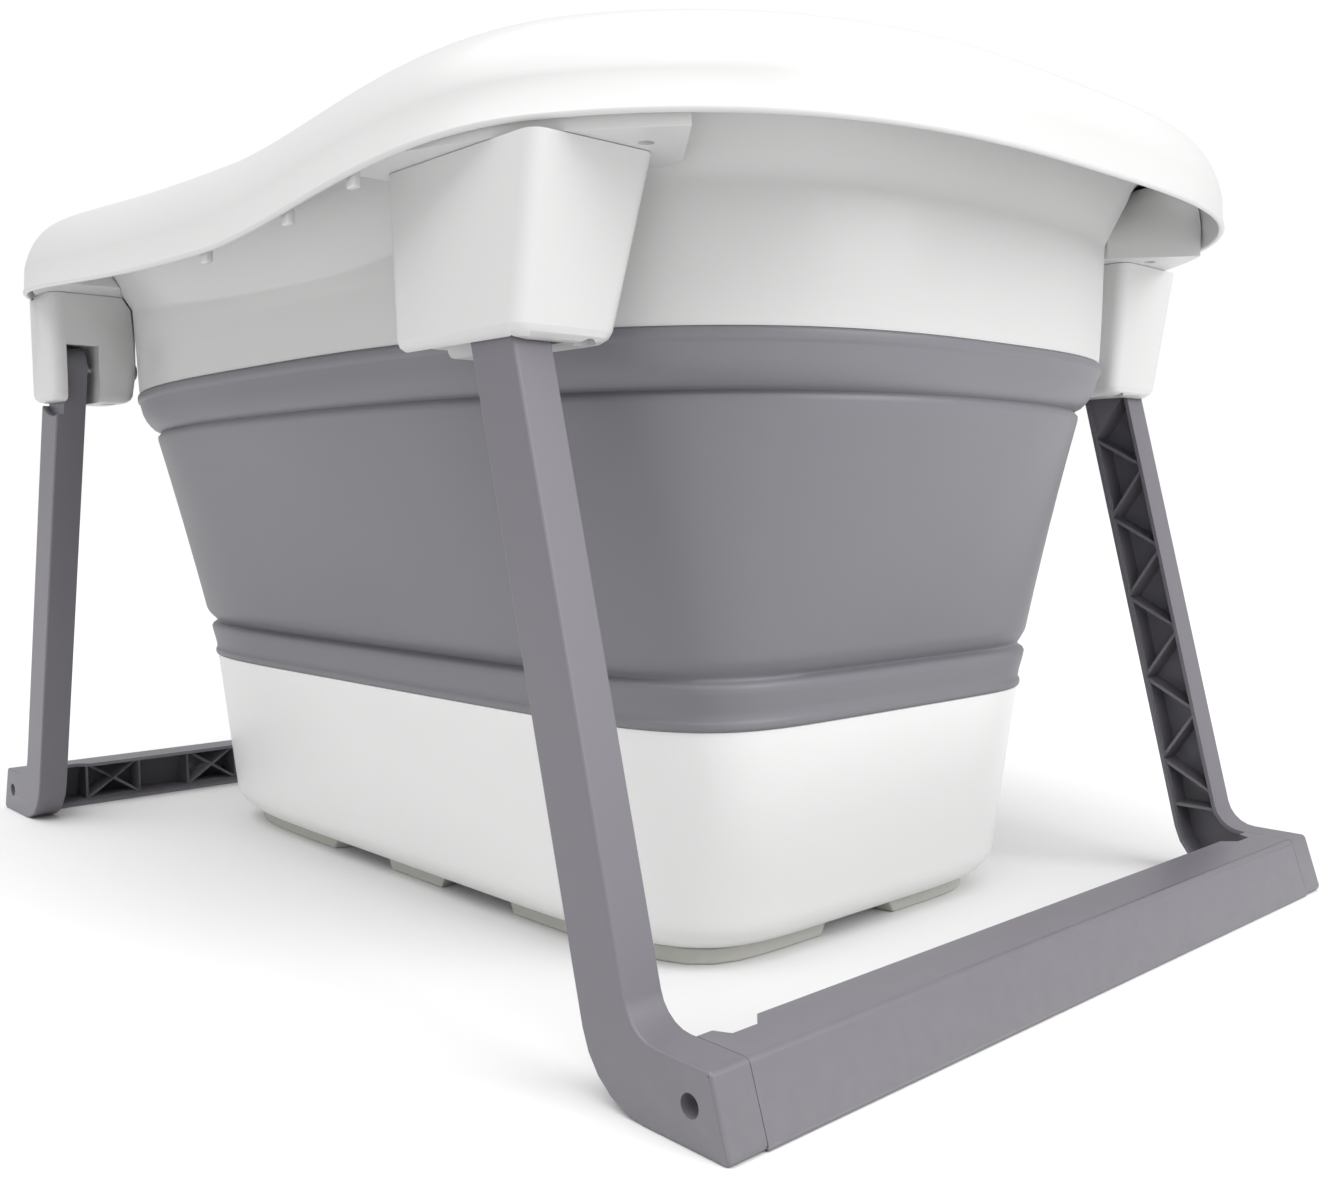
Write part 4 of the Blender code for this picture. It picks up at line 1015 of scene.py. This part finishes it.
class TUB_OT_leg_frames(bpy.types.Operator):
    """Ribbed legs and the crossbars between their feet"""

    bl_idname = "tub.leg_frames"
    bl_label = "Leg Frames"

    def execute(self, context):
        softness = context.scene.tub_sizes.edge_softness
        for end_name in ENDS:
            bar = f"{end_name}_crossbar"
            tip = max(abs(corner.x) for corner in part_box(bar))

            def long_and_outer(edge, tip=tip):
                """An edge of the bar's outer side that runs between the two feet."""
                ahead = min(abs(vert.co.x) for vert in edge.verts)
                return ahead > tip - 0.013 and edge.calc_length() > 0.2

            dressed(bar, "leg_grey", 0.0, rounder=(softness, long_and_outer))
            for side_name in SIDES:
                leg = f"{end_name}_{side_name}_leg"
                outer = max(abs(corner.y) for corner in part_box(leg))
                low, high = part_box(f"{end_name}_{side_name}_crossbar_screw")
                screw = (low + high) / 2

                def on_outer_face(edge, outer=outer, screw=screw):
                    """An edge round the leg's outer face, but not round its screw hole."""
                    on_face = all(abs(abs(vert.co.y) - outer) < 0.0001 for vert in edge.verts)
                    near = min((vert.co.xz - screw.xz).length for vert in edge.verts)
                    return on_face and near > 0.008

                dressed(leg, "leg_grey", softness / 4, rounder=(softness, on_outer_face))
        return {"FINISHED"}


class TUB_OT_pivot_housings(bpy.types.Operator):
    """White housings that the legs swing in"""

    bl_idname = "tub.pivot_housings"
    bl_label = "Pivot Housings"

    def execute(self, context):
        for end_name in ENDS:
            for side_name in SIDES:
                dressed(f"{end_name}_{side_name}_housing", "white_shell", 0.0010)
        return {"FINISHED"}


class TUB_OT_pins_and_screws(bpy.types.Operator):
    """Steel pivot pins and the screws of the housings and crossbars"""

    bl_idname = "tub.pins_and_screws"
    bl_label = "Pins and Screws"

    def execute(self, context):
        for node in frame["nodes"]:
            if node.endswith("_pin") or "_screw" in node:
                dressed(node, "steel", 0.0003, 2)
        return {"FINISHED"}


# Stage


def add_key_light():
    """Square studio light aimed at the middle of the tub."""
    light = bpy.data.lights.new("key_light", "AREA")
    light.shape = "SQUARE"
    light.size = 1.6
    light.energy = 34.0
    item = bpy.data.objects.new("key_light", light)
    bpy.context.scene.collection.objects.link(item)
    place = Vector((2.2, 0.5, 1.5))
    turned = (Vector((0.1, 0.0, 0.2)) - place).to_track_quat("-Z", "Y").to_matrix().to_4x4()
    item.matrix_world = Matrix.Translation(place) @ turned


def add_overhead_light():
    """Broad light from above, as from a white ceiling."""
    light = bpy.data.lights.new("overhead_light", "SUN")
    light.angle = math.radians(70)
    light.energy = 2.6
    item = bpy.data.objects.new("overhead_light", light)
    item.rotation_mode = "QUATERNION"
    item.rotation_quaternion = Vector((-0.08, 0.35, -1.0)).to_track_quat("-Z", "Y")
    bpy.context.scene.collection.objects.link(item)


def white_world():
    """Surroundings that look pure white and light the scene a little less than they look."""
    world = bpy.data.worlds.new("studio_world")
    world.use_nodes = True
    tree = world.node_tree
    lighting = tree.nodes["Background"]
    lighting.inputs["Color"].default_value = (1.0, 1.0, 1.0, 1.0)
    lighting.inputs["Strength"].default_value = 0.66
    seen = add_node(tree, "ShaderNodeBackground", (0, -150))
    seen.inputs["Color"].default_value = (1.0, 1.0, 1.0, 1.0)
    path = add_node(tree, "ShaderNodeLightPath", (0, 300))
    choose = add_node(tree, "ShaderNodeMixShader", (250, 0))
    tree.links.new(path.outputs["Is Camera Ray"], choose.inputs["Fac"])
    tree.links.new(lighting.outputs["Background"], choose.inputs[1])
    tree.links.new(seen.outputs["Background"], choose.inputs[2])
    tree.links.new(choose.outputs["Shader"], tree.nodes["World Output"].inputs["Surface"])
    return world


def add_camera():
    """Camera near the floor, off the corner of the head end, with its centre line moved by a lens shift."""
    bearing, tilt, roll = math.radians(136.967), math.radians(-4.4401), math.radians(-0.2901)
    level_part = math.cos(tilt)
    forward = Vector((math.cos(bearing) * level_part, math.sin(bearing) * level_part, math.sin(tilt)))
    right = Vector((math.sin(bearing), -math.cos(bearing), 0.0))
    up = right.cross(forward)
    rolled = right * math.cos(roll) + up * math.sin(roll)
    rolled_up = rolled.cross(forward)
    camera = bpy.data.cameras.new("studio_camera")
    camera.sensor_width = 36.0
    camera.lens = 36.784
    camera.shift_x = -0.0183
    camera.shift_y = 0.0133
    camera.clip_start = 0.01
    camera.clip_end = 100.0
    item = bpy.data.objects.new("studio_camera", camera)
    bpy.context.scene.collection.objects.link(item)
    basis = Matrix((rolled, rolled_up, -forward)).transposed().to_4x4()
    item.matrix_world = Matrix.Translation((0.7406, -0.5831, 0.2371)) @ basis
    bpy.context.scene.camera = item


def floor_finish():
    """Matt floor with hardly any change of tone."""
    material = bpy.data.materials.new("studio_floor_finish")
    material.use_nodes = True
    tree = material.node_tree
    shader = tree.nodes["Principled BSDF"]
    shader.inputs["Roughness"].default_value = 0.9
    shader.inputs["Specular IOR Level"].default_value = 0.2
    coordinates = add_node(tree, "ShaderNodeTexCoord", (-900, 0))
    drift = add_node(tree, "ShaderNodeGroup", (-500, 0))
    drift.node_tree = shared_group("Tone drift", tone_drift_group)
    colour = bpy.context.scene.tub_colours.floor
    drift.inputs["Color"].default_value = scaled(colour, 1.0)
    drift.inputs["Flow Color"].default_value = scaled(colour, 0.995)
    drift.inputs["Patch Scale"].default_value = 1.5
    tree.links.new(coordinates.outputs["Object"], drift.inputs["Vector"])
    tree.links.new(drift.outputs["Color"], shader.inputs["Base Color"])
    return material


class TUB_OT_stage(bpy.types.Operator):
    """Pale floor, soft lights and the camera"""

    bl_idname = "tub.stage"
    bl_label = "Stage"

    def execute(self, context):
        scene = context.scene
        shape = bmesh.new()
        bmesh.ops.create_circle(shape, cap_ends=True, segments=64, radius=30.0)
        floor = piece_from(shape, "studio_floor", floor_finish())

        scene.world = white_world()
        add_key_light()
        add_overhead_light()
        scene.view_settings.view_transform = "Standard"
        add_camera()
        return {"FINISHED"}


OPERATORS = (
    TUB_OT_rim_shell,
    TUB_OT_rim_ledges,
    TUB_OT_rim_tabs,
    TUB_OT_soft_wall,
    TUB_OT_base_basin,
    TUB_OT_base_pads,
    TUB_OT_drain_plug,
    TUB_OT_leg_frames,
    TUB_OT_pivot_housings,
    TUB_OT_pins_and_screws,
    TUB_OT_stage,
)


class TUB_PT_pieces(bpy.types.Panel):
    """Pieces of the bathtub, in the order they are made"""

    bl_label = "Baby Bathtub"
    bl_idname = "TUB_PT_pieces"
    bl_space_type = "VIEW_3D"
    bl_region_type = "UI"
    bl_category = "Bathtub"

    def draw(self, context):
        for operator in OPERATORS:
            self.layout.operator(operator.bl_idname)
        for group in (context.scene.tub_sizes, context.scene.tub_colours):
            box = self.layout.box()
            for name in group.bl_rna.properties.keys():
                if name not in ("rna_type", "name"):
                    box.prop(group, name)


CLASSES = (TubSizes, TubColours, *OPERATORS, TUB_PT_pieces)


def register():
    for cls in CLASSES:
        bpy.utils.register_class(cls)
    bpy.types.Scene.tub_sizes = bpy.props.PointerProperty(type=TubSizes)
    bpy.types.Scene.tub_colours = bpy.props.PointerProperty(type=TubColours)


def unregister():
    del bpy.types.Scene.tub_colours
    del bpy.types.Scene.tub_sizes
    for cls in reversed(CLASSES):
        bpy.utils.unregister_class(cls)


def main():
    register()
    for operator in OPERATORS:
        group, name = operator.bl_idname.split(".")
        getattr(getattr(bpy.ops, group), name)()


if __name__ == "__main__":
    main()
